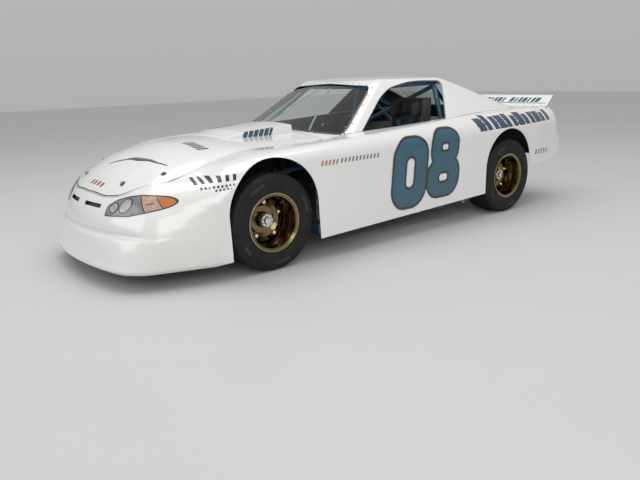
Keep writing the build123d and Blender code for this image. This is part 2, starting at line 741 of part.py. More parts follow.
def caliper(axle_x, turn):
    """Brake caliper over the rotor's edge and its bracket from the spindle, left side."""
    with BuildPart() as clamp:
        with BuildSketch(Plane.XZ.offset(-(rotor_out_y + caliper_gap + 12))):
            with Locations((axle_x, shaft_z)):
                with PolarLocations(130, 1, start_angle=turn):
                    Rectangle(56, 84)
        extrude(amount=rotor_out_y - rotor_in_y + 2 * caliper_gap + 37)
        with BuildSketch(Plane.XZ.offset(-(rotor_out_y + caliper_gap))):
            with Locations((axle_x, shaft_z)):
                Circle(rotor_radius + 3)
        extrude(amount=rotor_out_y - rotor_in_y + 2 * caliper_gap, mode=Mode.SUBTRACT)
        with BuildSketch(Plane.XZ.offset(-(rotor_in_y - caliper_gap))):
            with Locations((axle_x, shaft_z)):
                with PolarLocations(75, 1, start_angle=turn):
                    Rectangle(150, 50)
        extrude(amount=16)
    return clamp.part


rear_caliper = caliper(rear_axle_x, 180)
rear_axle = write("rear_axle", rear_axle_pieces + both_sides([rear_caliper]))

# Suspension links: rear trailing rods, front arms, and the coil-over units
link_z = 262
rear_links = write("rear_links", both_sides([
    rod((at(-2110), 520, link_z - 90), (rear_axle_x, 520, link_z), 32),
    rod((rear_axle_x, 520, link_z - 14), (rear_axle_x, 520, shaft_z), 34)])
    + [rod((rear_axle_x - 66, rear_rail_y, kick_z - 60), (rear_axle_x - 66, -300, 350), 30),
       rod((rear_axle_x - 66, rear_rail_y, kick_z), (rear_axle_x - 66, rear_rail_y, kick_z - 75), 36),
       rod((rear_axle_x - 81, -300, 350), (rear_axle_x, -300, 342), 34)],
    [frame, rear_axle])
lower_ball_z, upper_ball_z = 232, 456
arm_rows = [
    # foot's place along the car, foot's y, foot's z, ball's z
    (arm_foot_x, tower_y, 216, lower_ball_z - 14), (-arm_foot_x, tower_y, 216, lower_ball_z - 14),
    (arm_foot_x, tower_y, 492, upper_ball_z + 14), (-arm_foot_x, tower_y, 492, upper_ball_z + 14),
]
front_arms = write("front_arms", both_sides(
    [rod((at(x), foot_y, foot_z), (at(0), kingpin_y - 12, ball_z), 26)
     for x, foot_y, foot_z, ball_z in arm_rows]
    + [Pos(at(0), kingpin_y, z) * Cylinder(27, 26) for z in (lower_ball_z - 14, upper_ball_z + 14)]),
    [frame])
coil_size = 76
coilovers = write("coilovers", both_sides(
    [rod((at(0), 562, 236), (at(0), tower_y + 16, 530), coil_size),
     rod((rear_axle_x + 66, 540, 342), (rear_axle_x + 66, 500, 640), coil_size)]),
    [frame, front_arms, rear_axle, cage])

# Steering: knuckles on vertical kingpins, rack ahead of the axle, column and wheel
steer_arm_x, steer_arm_z, tie_rod_z = 132, 288, 262
knuckle_left_pieces = [
    beam((at(0), kingpin_y, lower_ball_z), (at(0), kingpin_y, upper_ball_z), 52, 44),
    rod((at(0), kingpin_y, shaft_z), (at(0), rotor_in_y - caliper_gap, shaft_z), 90),
    rod((at(0), kingpin_y, shaft_z), (at(0), spindle_end_y, shaft_z), 2 * spindle_radius),
    beam((at(0), kingpin_y, steer_arm_z), (at(steer_arm_x + 16), kingpin_y - 34, steer_arm_z),
         34, 22),
    caliper(at(0), 180),
]
knuckle_left = write("knuckle_left", knuckle_left_pieces)
knuckle_right = write("knuckle_right", [piece.mirror(Plane.XZ) for piece in knuckle_left_pieces])
rack_half = 312
rack_housing = rod((at(steer_arm_x), -rack_half, tie_rod_z), (at(steer_arm_x), rack_half, tie_rod_z), 56)
rack_bore = rod((at(steer_arm_x), -400, tie_rod_z), (at(steer_arm_x), 400, tie_rod_z), 26.1)
column_foot = (at(steer_arm_x), 292, tie_rod_z + 22)
column_joint = (at(-700), 365, 640)
column_top = (at(-1245), 365, 790)
rack_feet = both_sides([beam((at(40), 200, 205), (at(steer_arm_x - 10), 200, tie_rod_z - 6), 40, 16)])
steering_gear = write("steering_gear", [
    rack_housing, rod(column_foot, column_joint, 22), rod(column_joint, column_top, 21)] + rack_feet,
    [rack_bore, frame])
tie_rods = write("tie_rods", [
    rod((at(steer_arm_x), -(kingpin_y - 30), tie_rod_z), (at(steer_arm_x), kingpin_y - 30, tie_rod_z), 26),
] + both_sides([Pos(at(steer_arm_x), kingpin_y - 31, tie_rod_z + 2) * Cylinder(17, 18)]))

column_run = Vector(*column_top) - Vector(*column_joint)
column_way = column_run.normalized()
wheel_centre = Vector(*column_top) + column_way * 3
steering_radius = 178
with BuildPart() as steering_wheel:
    steering_plane = Plane(origin=wheel_centre, z_dir=column_way)
    with BuildSketch(steering_plane):
        Circle(34)
    extrude(amount=34)
    with BuildSketch(steering_plane.offset(8)):
        with PolarLocations(steering_radius / 2, 3, start_angle=90):
            Rectangle(steering_radius, 30)
    extrude(amount=4)
    with BuildSketch(Plane(origin=wheel_centre + column_way * 10, x_dir=column_way,
                           z_dir=Vector(0, 1, 0).cross(column_way))):
        with Locations((0, steering_radius)):
            Circle(14)
    revolve(axis=Axis(wheel_centre, column_way))
steering_wheel.part.label = "steering_wheel"
export_step(steering_wheel.part, "parts/steering_wheel.step")

# Seat: bent side view, hollowed from above and ahead
seat_y, seat_half, seat_wall = 370, 190, 14
seat_side = [(at(-1392), 198), (at(-1385), 400), (at(-1560), 385), (at(-1790), 470), (at(-1885), 1065),
             (at(-1985), 1085), (at(-1940), 198), (at(-1392), 198)]
seat_inner = [(at(-1340), 214), (at(-1922), 214), (at(-1975), 1250), (at(-1340), 1250), (at(-1340), 214)]
with BuildPart() as seat:
    with BuildSketch(Plane.XZ.offset(-(seat_y + seat_half))):
        with BuildLine():
            Polyline(*seat_side)
        make_face()
    extrude(amount=2 * seat_half)
    with BuildSketch(Plane.XZ.offset(-(seat_y + seat_half - seat_wall))):
        with BuildLine():
            Polyline(*seat_inner)
        make_face()
    extrude(amount=2 * (seat_half - seat_wall), mode=Mode.SUBTRACT)
seat.part.label = "seat"
export_step(seat.part, "parts/seat.step")

dash = write("dash", [Pos(at(-968), 0, 735) * Box(10, 1130, 190)],
             [rod(column_joint, column_top, 60)])

cage_sleeve = rod(front_bar[0], front_bar[1], brace_tube + 12)
# Floor with a tunnel over the drive line, wide as far as the seat and narrow beside it,
# a firewall ahead and a bulkhead behind, all of thin sheets riveted edge to edge
floor_z, floor_half, tin, tunnel_lean = 194, 565, 4, 30
wide_tunnel, wide_top_z, narrow_tunnel, narrow_top_z = 250, 560, 170, 440
firewall_x, step_x, bulkhead_x = -640, -1368, -2058
firewall_z, bulkhead_z = 790, 620


def tunnel_outline(half, top_z, grow):
    """Tunnel's section, from the left foot over the top to the right foot."""
    foot, top = half + grow, half - tunnel_lean + grow
    return [(foot, floor_z), (top, top_z + grow), (-top, top_z + grow), (-foot, floor_z)]


def upright_sheet(front_x, rear_x, outline, holes=()):
    """Sheet or channel with its section across the car, from front_x back to rear_x."""
    with BuildPart() as sheet:
        with BuildSketch(Plane.YZ.offset(at(rear_x))):
            with BuildLine():
                Polyline(*outline, outline[0])
            make_face()
            for hole in holes:
                with BuildLine():
                    Polyline(*hole, hole[0])
                make_face(mode=Mode.SUBTRACT)
        extrude(amount=front_x - rear_x)
    return sheet.part


def floor_length(front_x, rear_x, half, top_z):
    """One length of the floor: a tunnel and the sheets on both sides of it."""
    over, under = tunnel_outline(half, top_z, tin), tunnel_outline(half, top_z, 0)
    foot = half + tin
    side = [(floor_half, floor_z), (floor_half, floor_z + tin), (foot, floor_z + tin), (foot, floor_z)]
    tunnel = upright_sheet(front_x, rear_x, over, [under])
    return [tunnel] + both_sides([upright_sheet(front_x, rear_x, side)])


def full_wall(top_z):
    """Outline of a wall from side to side."""
    return [(floor_half, floor_z), (floor_half, top_z), (-floor_half, top_z), (-floor_half, floor_z)]


floor_sleeves = [rod(column_joint, column_foot, 60), rod(column_joint, column_top, 60)]
floor_sleeves += both_sides([cage_sleeve])
wide_inside, wide_outside = (tunnel_outline(wide_tunnel, wide_top_z, grow) for grow in (0, tin))
narrow_inside = tunnel_outline(narrow_tunnel, narrow_top_z, 0)
floor_sheets = [upright_sheet(firewall_x, firewall_x - tin, full_wall(firewall_z), [wide_inside]),
                upright_sheet(bulkhead_x + tin, bulkhead_x, full_wall(bulkhead_z), [narrow_inside]),
                upright_sheet(step_x, step_x - tin, wide_outside, [narrow_inside])]
floor_sheets += floor_length(firewall_x - tin, step_x, wide_tunnel, wide_top_z)
floor_sheets += floor_length(step_x, bulkhead_x + tin, narrow_tunnel, narrow_top_z)
floor_pan = write_fitted("floor_pan", floor_sheets, floor_sleeves)

radiator = write("radiator", [Pos(at(680) - rail_width / 2 - 30, 0, 440) * Box(60, 620, 400)])
fuel_cell = write("fuel_cell", [Pos(at(-3137), 0, 420) * Box(430, 620, 330)])
exhaust = write("exhaust", both_sides([
    bent_tube([(at(-290), 240, 335), (at(-400), 296, 322), (at(-640), 205, 240),
               (at(-1150), 205, 236), (at(-1320), 122, 236), (at(-2200), 122, 236)], 60, 76)]),
    [engine])

# Wheels: barrel, dished centre with its lugs' circle, hub and brake rotor on one spindle bore
barrel_wall = 7
vent_circle, vent_count, vent_radius = 139, 10, 16
nut_circle, nut_count, nut_across, nut_long = 128, 5, 26, 22
tyre_inner_y = tyre_outer_y - tyre_width


def road_wheel(axle_x):
    """Left wheel about its axle, turned from its half section."""
    rim_in_y = rim_lip_y - rim_width
    drop = bead_radius - 14
    outside = [(rim_in_y, flange_radius), (rim_in_y + 7, flange_radius), (rim_in_y + 10, bead_radius),
               (rim_in_y + 45, bead_radius - 2), (rim_in_y + 62, drop), (hub_face_y + 50, drop),
               (hub_face_y + 90, bead_radius - 2), (rim_lip_y - 10, bead_radius),
               (rim_lip_y - 7, flange_radius), (rim_lip_y, flange_radius)]
    dish = [(rim_lip_y, flange_radius - 7), (rim_lip_y - 8, bead_radius - barrel_wall),
            (hub_face_y + 90, bead_radius - 2 - barrel_wall), (hub_face_y + 50, drop - barrel_wall),
            (hub_face_y + 4, drop - barrel_wall), (hub_face_y + 20, 156), (hub_face_y + 30, 122),
            (hub_face_y + 12, 96), (hub_face_y + 12, 58), (spindle_end_y - 4, 52),
            (spindle_end_y + 12, 46), (spindle_end_y + 12, 0)]
    hub = [(spindle_end_y + 5, 0), (spindle_end_y + 5, spindle_radius + bearing_gap),
           (rotor_in_y, spindle_radius + bearing_gap), (rotor_in_y, rotor_radius),
           (rotor_out_y, rotor_radius), (rotor_out_y, 62), (hub_face_y, 62), (hub_face_y, 98),
           (hub_face_y + 20, 122), (hub_face_y + 12, 150), (hub_face_y - 6, drop - barrel_wall),
           (rim_in_y + 60, drop - barrel_wall), (rim_in_y + 42, bead_radius - 2 - barrel_wall),
           (rim_in_y + 8, bead_radius - barrel_wall), (rim_in_y, flange_radius - 7)]
    with BuildPart() as wheel:
        with BuildSketch(Plane.YZ.offset(axle_x)):
            with BuildLine():
                Polyline(*[(y, shaft_z + r) for y, r in outside + dish + hub + outside[:1]])
            make_face()
        revolve(axis=Axis((axle_x, 0, shaft_z), (0, 1, 0)))
        with BuildSketch(Plane.XZ.offset(-(hub_face_y - 12))):
            with Locations((axle_x, shaft_z)):
                with PolarLocations(vent_circle, vent_count):
                    Circle(vent_radius)
        extrude(amount=-60, mode=Mode.SUBTRACT)
        with BuildSketch(Plane.XZ.offset(-(hub_face_y + 22))):
            with Locations((axle_x, shaft_z)):
                with PolarLocations(nut_circle, nut_count, start_angle=180 / vent_count):
                    RegularPolygon(nut_across / 2, 6, major_radius=False)
        extrude(amount=-nut_long)
    return wheel.part


def tyre(axle_x):
    """Left tyre about its axle: beads on the rim, bulged walls, flat tread."""
    shoulder_in, shoulder_out = tyre_inner_y + 22, tyre_outer_y - 22
    seat_in, seat_out = rim_lip_y - rim_width + 10, rim_lip_y - 10
    wall_foot = shaft_z + flange_radius + 2
    with BuildPart() as ring:
        with BuildSketch(Plane.YZ.offset(axle_x)):
            with BuildLine():
                Polyline((seat_in, wall_foot), (seat_in, shaft_z + bead_radius),
                         (seat_out, shaft_z + bead_radius), (seat_out, wall_foot))
                ThreePointArc((seat_out, wall_foot), (tyre_outer_y, shaft_z + 268),
                              (shoulder_out, shaft_z + tyre_radius - 10))
                Polyline((shoulder_out, shaft_z + tyre_radius - 10),
                         (shoulder_out - 14, shaft_z + tyre_radius),
                         (shoulder_in + 14, shaft_z + tyre_radius),
                         (shoulder_in, shaft_z + tyre_radius - 10))
                ThreePointArc((shoulder_in, shaft_z + tyre_radius - 10), (tyre_inner_y, shaft_z + 268),
                              (seat_in, wall_foot))
            make_face()
        revolve(axis=Axis((axle_x, 0, shaft_z), (0, 1, 0)))
    return ring.part


for corner_name, axle_x in (("front", front_axle_x), ("rear", rear_axle_x)):
    wheel_solid, tyre_solid = road_wheel(axle_x), tyre(axle_x)
    write("wheel_" + corner_name + "_left", [wheel_solid])
    write("wheel_" + corner_name + "_right", [wheel_solid.mirror(Plane.XZ)])
    write("tyre_" + corner_name + "_left", [tyre_solid])
    write("tyre_" + corner_name + "_right", [tyre_solid.mirror(Plane.XZ)])
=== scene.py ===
import json
from math import cos, pi, radians, sin

import bpy
import numpy as np
from mathutils import Matrix


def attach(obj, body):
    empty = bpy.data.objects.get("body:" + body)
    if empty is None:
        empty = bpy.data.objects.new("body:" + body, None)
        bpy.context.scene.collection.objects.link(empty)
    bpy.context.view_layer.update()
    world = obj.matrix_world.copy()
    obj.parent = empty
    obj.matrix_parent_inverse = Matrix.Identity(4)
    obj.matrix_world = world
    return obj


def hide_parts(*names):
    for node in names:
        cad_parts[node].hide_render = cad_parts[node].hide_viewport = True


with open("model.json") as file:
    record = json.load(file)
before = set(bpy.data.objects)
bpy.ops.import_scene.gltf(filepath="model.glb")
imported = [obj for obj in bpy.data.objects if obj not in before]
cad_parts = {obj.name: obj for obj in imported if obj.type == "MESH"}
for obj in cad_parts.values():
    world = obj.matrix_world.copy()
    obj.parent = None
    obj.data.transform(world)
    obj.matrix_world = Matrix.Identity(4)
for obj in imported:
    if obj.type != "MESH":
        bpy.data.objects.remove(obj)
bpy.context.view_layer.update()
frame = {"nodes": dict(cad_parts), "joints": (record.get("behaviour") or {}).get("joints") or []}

jointPlace = {joint["name"]: joint.get("pos_m") for joint in frame["joints"]}
frontAxleX = jointPlace["steer"][0]
axleZ = jointPlace["steer"][2]
rearAxleX = jointPlace["spin_rl"][0]


def at(x):
    # places in the tables are metres from the front axle, forward positive
    return frontAxleX + x


def placedAt(points):
    # points given from the front axle, moved to their places in the frame
    return np.asarray(points, float) + (frontAxleX, 0, 0)


def fromAxle(points):
    # x from the front axle, y and z of points in the frame
    return points[..., 0] - frontAxleX, points[..., 1], points[..., 2]


# Camera at the photograph's angle: place in metres from under the front axle, angles in degrees
cameraSetup = {"place": (2.323, 4.355, 1.308), "yaw": -128.292, "down": 14.876, "roll": -1.784,
               "focalPixels": 620.0, "imageWidth": 640.0, "sensor": 36.0}


def makeCamera(setup):
    yaw, down, roll = (radians(setup[key]) for key in ("yaw", "down", "roll"))
    ahead = np.array([cos(yaw) * cos(down), sin(yaw) * cos(down), -sin(down)])
    level = np.array([sin(yaw), -cos(yaw), 0.0])
    up = np.cross(level, ahead)
    rightWay = cos(roll) * level + sin(roll) * up
    upWay = -sin(roll) * level + cos(roll) * up
    data = bpy.data.cameras.new("camera")
    data.sensor_fit = "HORIZONTAL"
    data.sensor_width = setup["sensor"]
    data.lens = setup["focalPixels"] / setup["imageWidth"] * setup["sensor"]
    data.clip_start, data.clip_end = 0.1, 200
    camera = bpy.data.objects.new("camera", data)
    bpy.context.scene.collection.objects.link(camera)
    x, y, z = setup["place"]
    turn = Matrix([[rightWay[i], upWay[i], -ahead[i], 0] for i in range(3)] + [[0, 0, 0, 1]])
    camera.matrix_world = Matrix.Translation((at(x), y, z)) @ turn
    bpy.context.scene.camera = camera


makeCamera(cameraSetup)


# Materials: values are set on the shader's own sockets
def newShader(name):
    material = bpy.data.materials.new(name)
    material.use_nodes = True
    nodes, links = material.node_tree.nodes, material.node_tree.links
    return material, nodes, links, nodes["Principled BSDF"]


def setInputs(node, values):
    for socket, value in values.items():
        node.inputs[socket].default_value = value


def addNoise(nodes, links, scale, detail=3.0, roughness=0.5, stretch=(1, 1, 1)):
    # noise on the piece's own coordinates, stretched if the grain runs one way
    place = nodes.new("ShaderNodeTexCoord")
    mapping = nodes.new("ShaderNodeMapping")
    setInputs(mapping, {"Scale": stretch})
    noise = nodes.new("ShaderNodeTexNoise")
    setInputs(noise, {"Scale": scale, "Detail": detail, "Roughness": roughness})
    links.new(place.outputs["Object"], mapping.inputs["Vector"])
    links.new(mapping.outputs["Vector"], noise.inputs["Vector"])
    return noise.outputs["Fac"]


def mapTo(nodes, links, value, low, high, fromLow=0.3, fromHigh=0.7):
    ramp = nodes.new("ShaderNodeMapRange")
    setInputs(ramp, {"From Min": fromLow, "From Max": fromHigh, "To Min": low, "To Max": high})
    links.new(value, ramp.inputs["Value"])
    return ramp.outputs["Result"]


def mixColors(nodes, links, share, first, second):
    mix = nodes.new("ShaderNodeMix")
    mix.data_type = "RGBA"
    setInputs(mix, {"A": (*first, 1), "B": (*second, 1)})
    links.new(share, mix.inputs["Factor"])
    return mix.outputs["Result"]


def addBump(nodes, links, shader, height, strength, distance):
    bump = nodes.new("ShaderNodeBump")
    setInputs(bump, {"Strength": strength, "Distance": distance})
    links.new(height, bump.inputs["Height"])
    links.new(bump.outputs["Normal"], shader.inputs["Normal"])


def paint(name, color, other, rough=(0.3, 0.4), metallic=0.0, coat=0.0, coatRough=0.05, scale=6.0,
          grain=None, stretch=(1, 1, 1), specular=0.5):
    # two close tones and a changing roughness over noise, with an optional fine grain
    material, nodes, links, shader = newShader(name)
    tone = mapTo(nodes, links, addNoise(nodes, links, scale, 4.0, 0.55, stretch), 0, 1)
    links.new(mixColors(nodes, links, tone, color, other), shader.inputs["Base Color"])
    polish = mapTo(nodes, links, addNoise(nodes, links, scale * 3.1, 3.0, 0.5, stretch), *rough)
    links.new(polish, shader.inputs["Roughness"])
    setInputs(shader, {"Metallic": metallic, "Coat Weight": coat, "Coat Roughness": coatRough,
                       "Specular IOR Level": specular, "IOR": 1.5})
    if grain:
        strength, grainScale, depth = grain
        addBump(nodes, links, shader, addNoise(nodes, links, grainScale, 3.0, 0.6, stretch), strength, depth)
    return material


# Each finish: two close tones, then what differs from paint()'s own values; grain is strength, scale, depth
decal, lamp = {"rough": (0.25, 0.35), "coat": 0.6}, {"rough": (0.22, 0.32), "coat": 0.7}
finishTable = {
    "bodyWhite": ((0.80, 0.80, 0.785), (0.775, 0.775, 0.765),
                  {"rough": (0.16, 0.24), "coat": 1.0, "coatRough": 0.03, "scale": 1.6,
                   "grain": (0.03, 55, 0.0006)}),
    "noseWhite": ((0.79, 0.785, 0.765), (0.765, 0.76, 0.745),
                  {"rough": (0.20, 0.30), "coat": 0.9, "scale": 1.4, "grain": (0.02, 12, 0.0006)}),
    # painted shade: the body panels' inner faces are near black, so the wheel arches and openings read as
    # shadowed
    "bodyInside": ((0.022, 0.022, 0.023), (0.035, 0.034, 0.033),
                   {"rough": (0.5, 0.7), "scale": 5, "grain": (0.08, 70, 0.0006)}),
    "decalTeal": ((0.014, 0.088, 0.128), (0.019, 0.110, 0.158), {**decal, "scale": 5}),
    "decalBlack": ((0.012, 0.012, 0.014), (0.02, 0.02, 0.022), {**decal, "scale": 8}),
    "decalGrey": ((0.16, 0.17, 0.18), (0.20, 0.21, 0.22), {"coat": 0.5, "scale": 9}),
    "decalPale": ((0.62, 0.66, 0.66), (0.58, 0.62, 0.63), {**decal, "coat": 0.5}),
    "decalOrange": ((0.50, 0.22, 0.05), (0.44, 0.19, 0.05), {"coat": 0.5}),
    "decalRed": ((0.30, 0.02, 0.02), (0.35, 0.03, 0.025), decal),
    "tubeBlue": ((0.045, 0.13, 0.235), (0.055, 0.15, 0.26),
                 {"rough": (0.25, 0.38), "coat": 0.5, "scale": 9, "grain": (0.05, 160, 0.0004)}),
    "satinBlack": ((0.016, 0.016, 0.017), (0.028, 0.027, 0.026),
                   {"rough": (0.38, 0.55), "scale": 12, "grain": (0.08, 240, 0.0005)}),
    "bareSheet": ((0.56, 0.57, 0.58), (0.47, 0.48, 0.49),
                  {"rough": (0.28, 0.45), "metallic": 1.0, "scale": 4, "grain": (0.06, 90, 0.0004),
                   "stretch": (1, 9, 9)}),
    "darkSheet": ((0.055, 0.057, 0.06), (0.075, 0.077, 0.08),
                  {"rough": (0.4, 0.55), "scale": 7, "grain": (0.06, 140, 0.0004)}),
    "castIron": ((0.055, 0.056, 0.06), (0.085, 0.08, 0.075),
                 {"rough": (0.45, 0.65), "metallic": 0.4, "scale": 9, "grain": (0.35, 220, 0.0012)}),
    "castAlloy": ((0.42, 0.43, 0.44), (0.33, 0.335, 0.34),
                  {"rough": (0.4, 0.58), "metallic": 0.9, "scale": 11, "grain": (0.25, 260, 0.0008)}),
    "plainSteel": ((0.38, 0.385, 0.39), (0.28, 0.285, 0.29),
                   {"rough": (0.25, 0.42), "metallic": 1.0, "scale": 14, "grain": (0.04, 200, 0.0003)}),
    "burntSteel": ((0.30, 0.24, 0.17), (0.20, 0.20, 0.24), {"rough": (0.3, 0.5), "metallic": 1.0}),
    "wheelGold": ((0.235, 0.175, 0.072), (0.160, 0.120, 0.052),
                  {"rough": (0.13, 0.24), "metallic": 1.0, "coat": 0.4, "scale": 9,
                   "grain": (0.03, 120, 0.0003)}),
    "polished": ((0.80, 0.80, 0.79), (0.72, 0.72, 0.71),
                 {"rough": (0.06, 0.14), "metallic": 1.0, "scale": 12}),
    "seatCover": ((0.022, 0.023, 0.026), (0.034, 0.035, 0.039),
                  {"rough": (0.72, 0.9), "scale": 16, "grain": (0.5, 700, 0.0010)}),
    "webbing": ((0.018, 0.055, 0.13), (0.024, 0.068, 0.155),
                {"rough": (0.6, 0.8), "scale": 30, "grain": (0.5, 900, 0.0008)}),
    "rubber": ((0.0065, 0.0065, 0.0070), (0.0125, 0.0120, 0.0115),
               {"rough": (0.58, 0.80), "scale": 9, "grain": (0.25, 260, 0.0006), "specular": 0.35}),
    "rubberMark": ((0.045, 0.045, 0.042), (0.032, 0.032, 0.030), {"rough": (0.5, 0.7), "scale": 30}),
    "wheelLip": ((0.50, 0.40, 0.19), (0.42, 0.33, 0.16),
                 {"rough": (0.10, 0.20), "metallic": 1.0, "scale": 14}),
    "lampDark": ((0.060, 0.022, 0.018), (0.045, 0.018, 0.016), lamp),
    "lampGrey": ((0.12, 0.125, 0.14), (0.24, 0.25, 0.27), {**lamp, "scale": 26}),
    "lampSilver": ((0.50, 0.51, 0.52), (0.20, 0.21, 0.23), {**lamp, "rough": (0.2, 0.3), "scale": 34}),
    "lampPink": ((0.48, 0.37, 0.31), (0.42, 0.24, 0.18), {**lamp, "rough": (0.22, 0.3), "scale": 38}),
    "lampRed": ((0.26, 0.045, 0.03), (0.21, 0.04, 0.03), {**lamp, "rough": (0.22, 0.3)}),
    "lampAmber": ((0.55, 0.185, 0.035), (0.47, 0.14, 0.03), {"rough": (0.2, 0.3), "coat": 0.8, "scale": 22}),
    "decalBlue": ((0.012, 0.040, 0.105), (0.020, 0.068, 0.150), {**decal, "scale": 9}),
    "lampTail": ((0.22, 0.012, 0.010), (0.17, 0.010, 0.010),
                 {"rough": (0.18, 0.28), "coat": 0.8, "scale": 30}),
    "filterPaper": ((0.34, 0.10, 0.04), (0.42, 0.15, 0.06),
                    {"rough": (0.6, 0.8), "scale": 40, "grain": (0.7, 30, 0.004), "stretch": (9, 9, 0.1)}),
    "coreFins": ((0.10, 0.10, 0.105), (0.035, 0.035, 0.037),
                 {"rough": (0.4, 0.6), "metallic": 0.8, "scale": 30, "grain": (0.7, 30, 0.004),
                  "stretch": (1, 12, 0.3)}),
    "gripBlack": ((0.014, 0.014, 0.014), (0.024, 0.024, 0.024),
                  {"rough": (0.55, 0.75), "scale": 40, "grain": (0.5, 800, 0.0008)}),
}
finishes = {name: paint(name, *tones, **values) for name, (*tones, values) in finishTable.items()}
print("stage: finishes made", len(finishes))


# Glass lets shadow rays through, so the cabin is lit as it is behind thin clear plastic
def makeGlass(name, tint, rough):
    material, nodes, links, shader = newShader(name)
    setInputs(shader, {"Base Color": (*tint, 1), "Transmission Weight": 1.0, "IOR": 1.30})
    links.new(mapTo(nodes, links, addNoise(nodes, links, 5.0), *rough), shader.inputs["Roughness"])
    clear = nodes.new("ShaderNodeBsdfTransparent")
    setInputs(clear, {"Color": (*[0.5 + 0.5 * part for part in tint], 1)})
    path = nodes.new("ShaderNodeLightPath")
    mix = nodes.new("ShaderNodeMixShader")
    links.new(path.outputs["Is Shadow Ray"], mix.inputs["Fac"])
    links.new(shader.outputs["BSDF"], mix.inputs[1])
    links.new(clear.outputs["BSDF"], mix.inputs[2])
    links.new(mix.outputs["Shader"], nodes["Material Output"].inputs["Surface"])
    return material


finishes["windowClear"] = makeGlass("windowClear", (0.80, 0.85, 0.82), (0.0, 0.02))


# Mesh tools
def newPiece(name, points, faces, material, body, smoothAngle=40.0, replaces=()):
    mesh = bpy.data.meshes.new(name)
    mesh.from_pydata(np.asarray(points, float).reshape(-1, 3).tolist(), [], [list(face) for face in faces])
    mesh.validate()
    piece = bpy.data.objects.new(name, mesh)
    bpy.context.scene.collection.objects.link(piece)
    mesh.materials.append(finishes[material])
    finishMesh(mesh, smoothAngle)
    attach(piece, body)
    if replaces:
        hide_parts(*replaces)
    return piece


def mirrorPoints(points):
    return points * np.array([1, -1, 1])


def bothSides(name, points, quads, material, body="chassis", replaces=""):
    # the left piece and its mirror image; {} in replaces stands for the side
    made = []
    for side, shown, faces in (("left", points, quads), ("right", mirrorPoints(points), quads[:, ::-1])):
        nodes = (replaces.format(side),) if replaces else ()
        made.append(newPiece(name + "." + side, shown, faces, material, body, replaces=nodes))
    return made


def finishMesh(mesh, smoothAngle):
    mesh.polygons.foreach_set("use_smooth", np.ones(len(mesh.polygons), bool))
    mesh.set_sharp_from_angle(angle=radians(smoothAngle))
    mesh.update()


def applyModifiers(piece, smoothAngle):
    graph = bpy.context.evaluated_depsgraph_get()
    graph.update()
    made = bpy.data.meshes.new_from_object(piece.evaluated_get(graph))
    piece.modifiers.clear()
    piece.data = made
    finishMesh(made, smoothAngle)


def thicken(piece, thickness, smoothAngle=40.0, inside=None):
    # the panel's own thickness goes inwards from its outer face; inside names the finish of the inner face,
    # which on the body panels is a near-black painted shade
    wall = piece.modifiers.new("wall", "SOLIDIFY")
    wall.thickness = thickness
    wall.offset = -1.0
    if inside:
        piece.data.materials.append(finishes[inside])
        wall.material_offset = 1
    applyModifiers(piece, smoothAngle)


def gridFaces(rows, columns, closeRows=False, closeColumns=False, flip=False):
    # quads of a grid whose point (i, j) is number i * columns + j
    i = np.arange(rows if closeRows else rows - 1)
    j = np.arange(columns if closeColumns else columns - 1)
    i, j = np.meshgrid(i, j, indexing="ij")
    nextI, nextJ = (i + 1) % rows, (j + 1) % columns
    quads = np.stack([i * columns + j, nextI * columns + j, nextI * columns + nextJ, i * columns + nextJ], -1)
    quads = quads.reshape(-1, 4)
    return quads if flip else quads[:, ::-1]


def facingOut(points, faces):
    # the same faces, turned round if they face into the piece
    points = np.asarray(points, float).reshape(-1, 3)
    points = points - points.mean(axis=0)
    faces = np.asarray(faces)
    first, second, third = points[faces[:, 0]], points[faces[:, 1]], points[faces[:, 2]]
    volume = np.einsum("ij,ij->i", first, np.cross(second, third)).sum()
    if faces.shape[1] == 4:
        fourth = points[faces[:, 3]]
        volume += np.einsum("ij,ij->i", first, np.cross(third, fourth)).sum()
    return faces if volume > 0 else faces[:, ::-1]


def trimmedSheet(surface, alongA, alongB, keep, flip=False):
    # surface(a, b) gives points; keep(points) is the signed distance to the panel's edge, positive inside.
    # Grid points just outside the edge are moved onto it, so that the cut is clean.
    a, b = np.meshgrid(alongA, alongB, indexing="ij")
    before = surface(a, b)
    inside = keep(before) > 0
    wide = np.pad(inside, 1)
    near = np.zeros_like(inside)
    for di in (0, 1, 2):
        for dj in (0, 1, 2):
            near |= wide[di:di + inside.shape[0], dj:dj + inside.shape[1]]
    near &= ~inside
    aa, bb = a[near], b[near]
    small = 1e-4
    spanA, spanB = abs(alongA[-1] - alongA[0]) * small, abs(alongB[-1] - alongB[0]) * small
    for _ in range(6):
        here = keep(surface(aa, bb))
        slopeA = (keep(surface(aa + spanA, bb)) - here) / small
        slopeB = (keep(surface(aa, bb + spanB)) - here) / small
        size = slopeA ** 2 + slopeB ** 2 + 1e-9
        move = np.clip(here / size, -0.03, 0.03)
        aa, bb = aa - move * slopeA * spanA / small, bb - move * slopeB * spanB / small
        aa = np.clip(aa, min(alongA), max(alongA))
        bb = np.clip(bb, min(alongB), max(alongB))
    a[near], b[near] = aa, bb
    points = surface(a, b)
    quads = gridFaces(*inside.shape, flip=flip)
    quads = quads[inside.ravel()[quads].any(axis=1)]
    # a cell that folded over as its corners moved is left out
    wasWay, nowWay = (np.cross(grid[quads[:, 2]] - grid[quads[:, 0]], grid[quads[:, 3]] - grid[quads[:, 1]])
                      for grid in (before.reshape(-1, 3), points.reshape(-1, 3)))
    quads = quads[np.einsum("ij,ij->i", wasWay, nowWay) > 0.02 * np.einsum("ij,ij->i", wasWay, wasWay)]
    numbers, flat = np.unique(quads, return_inverse=True)
    return points.reshape(-1, 3)[numbers], flat.reshape(-1, 4)


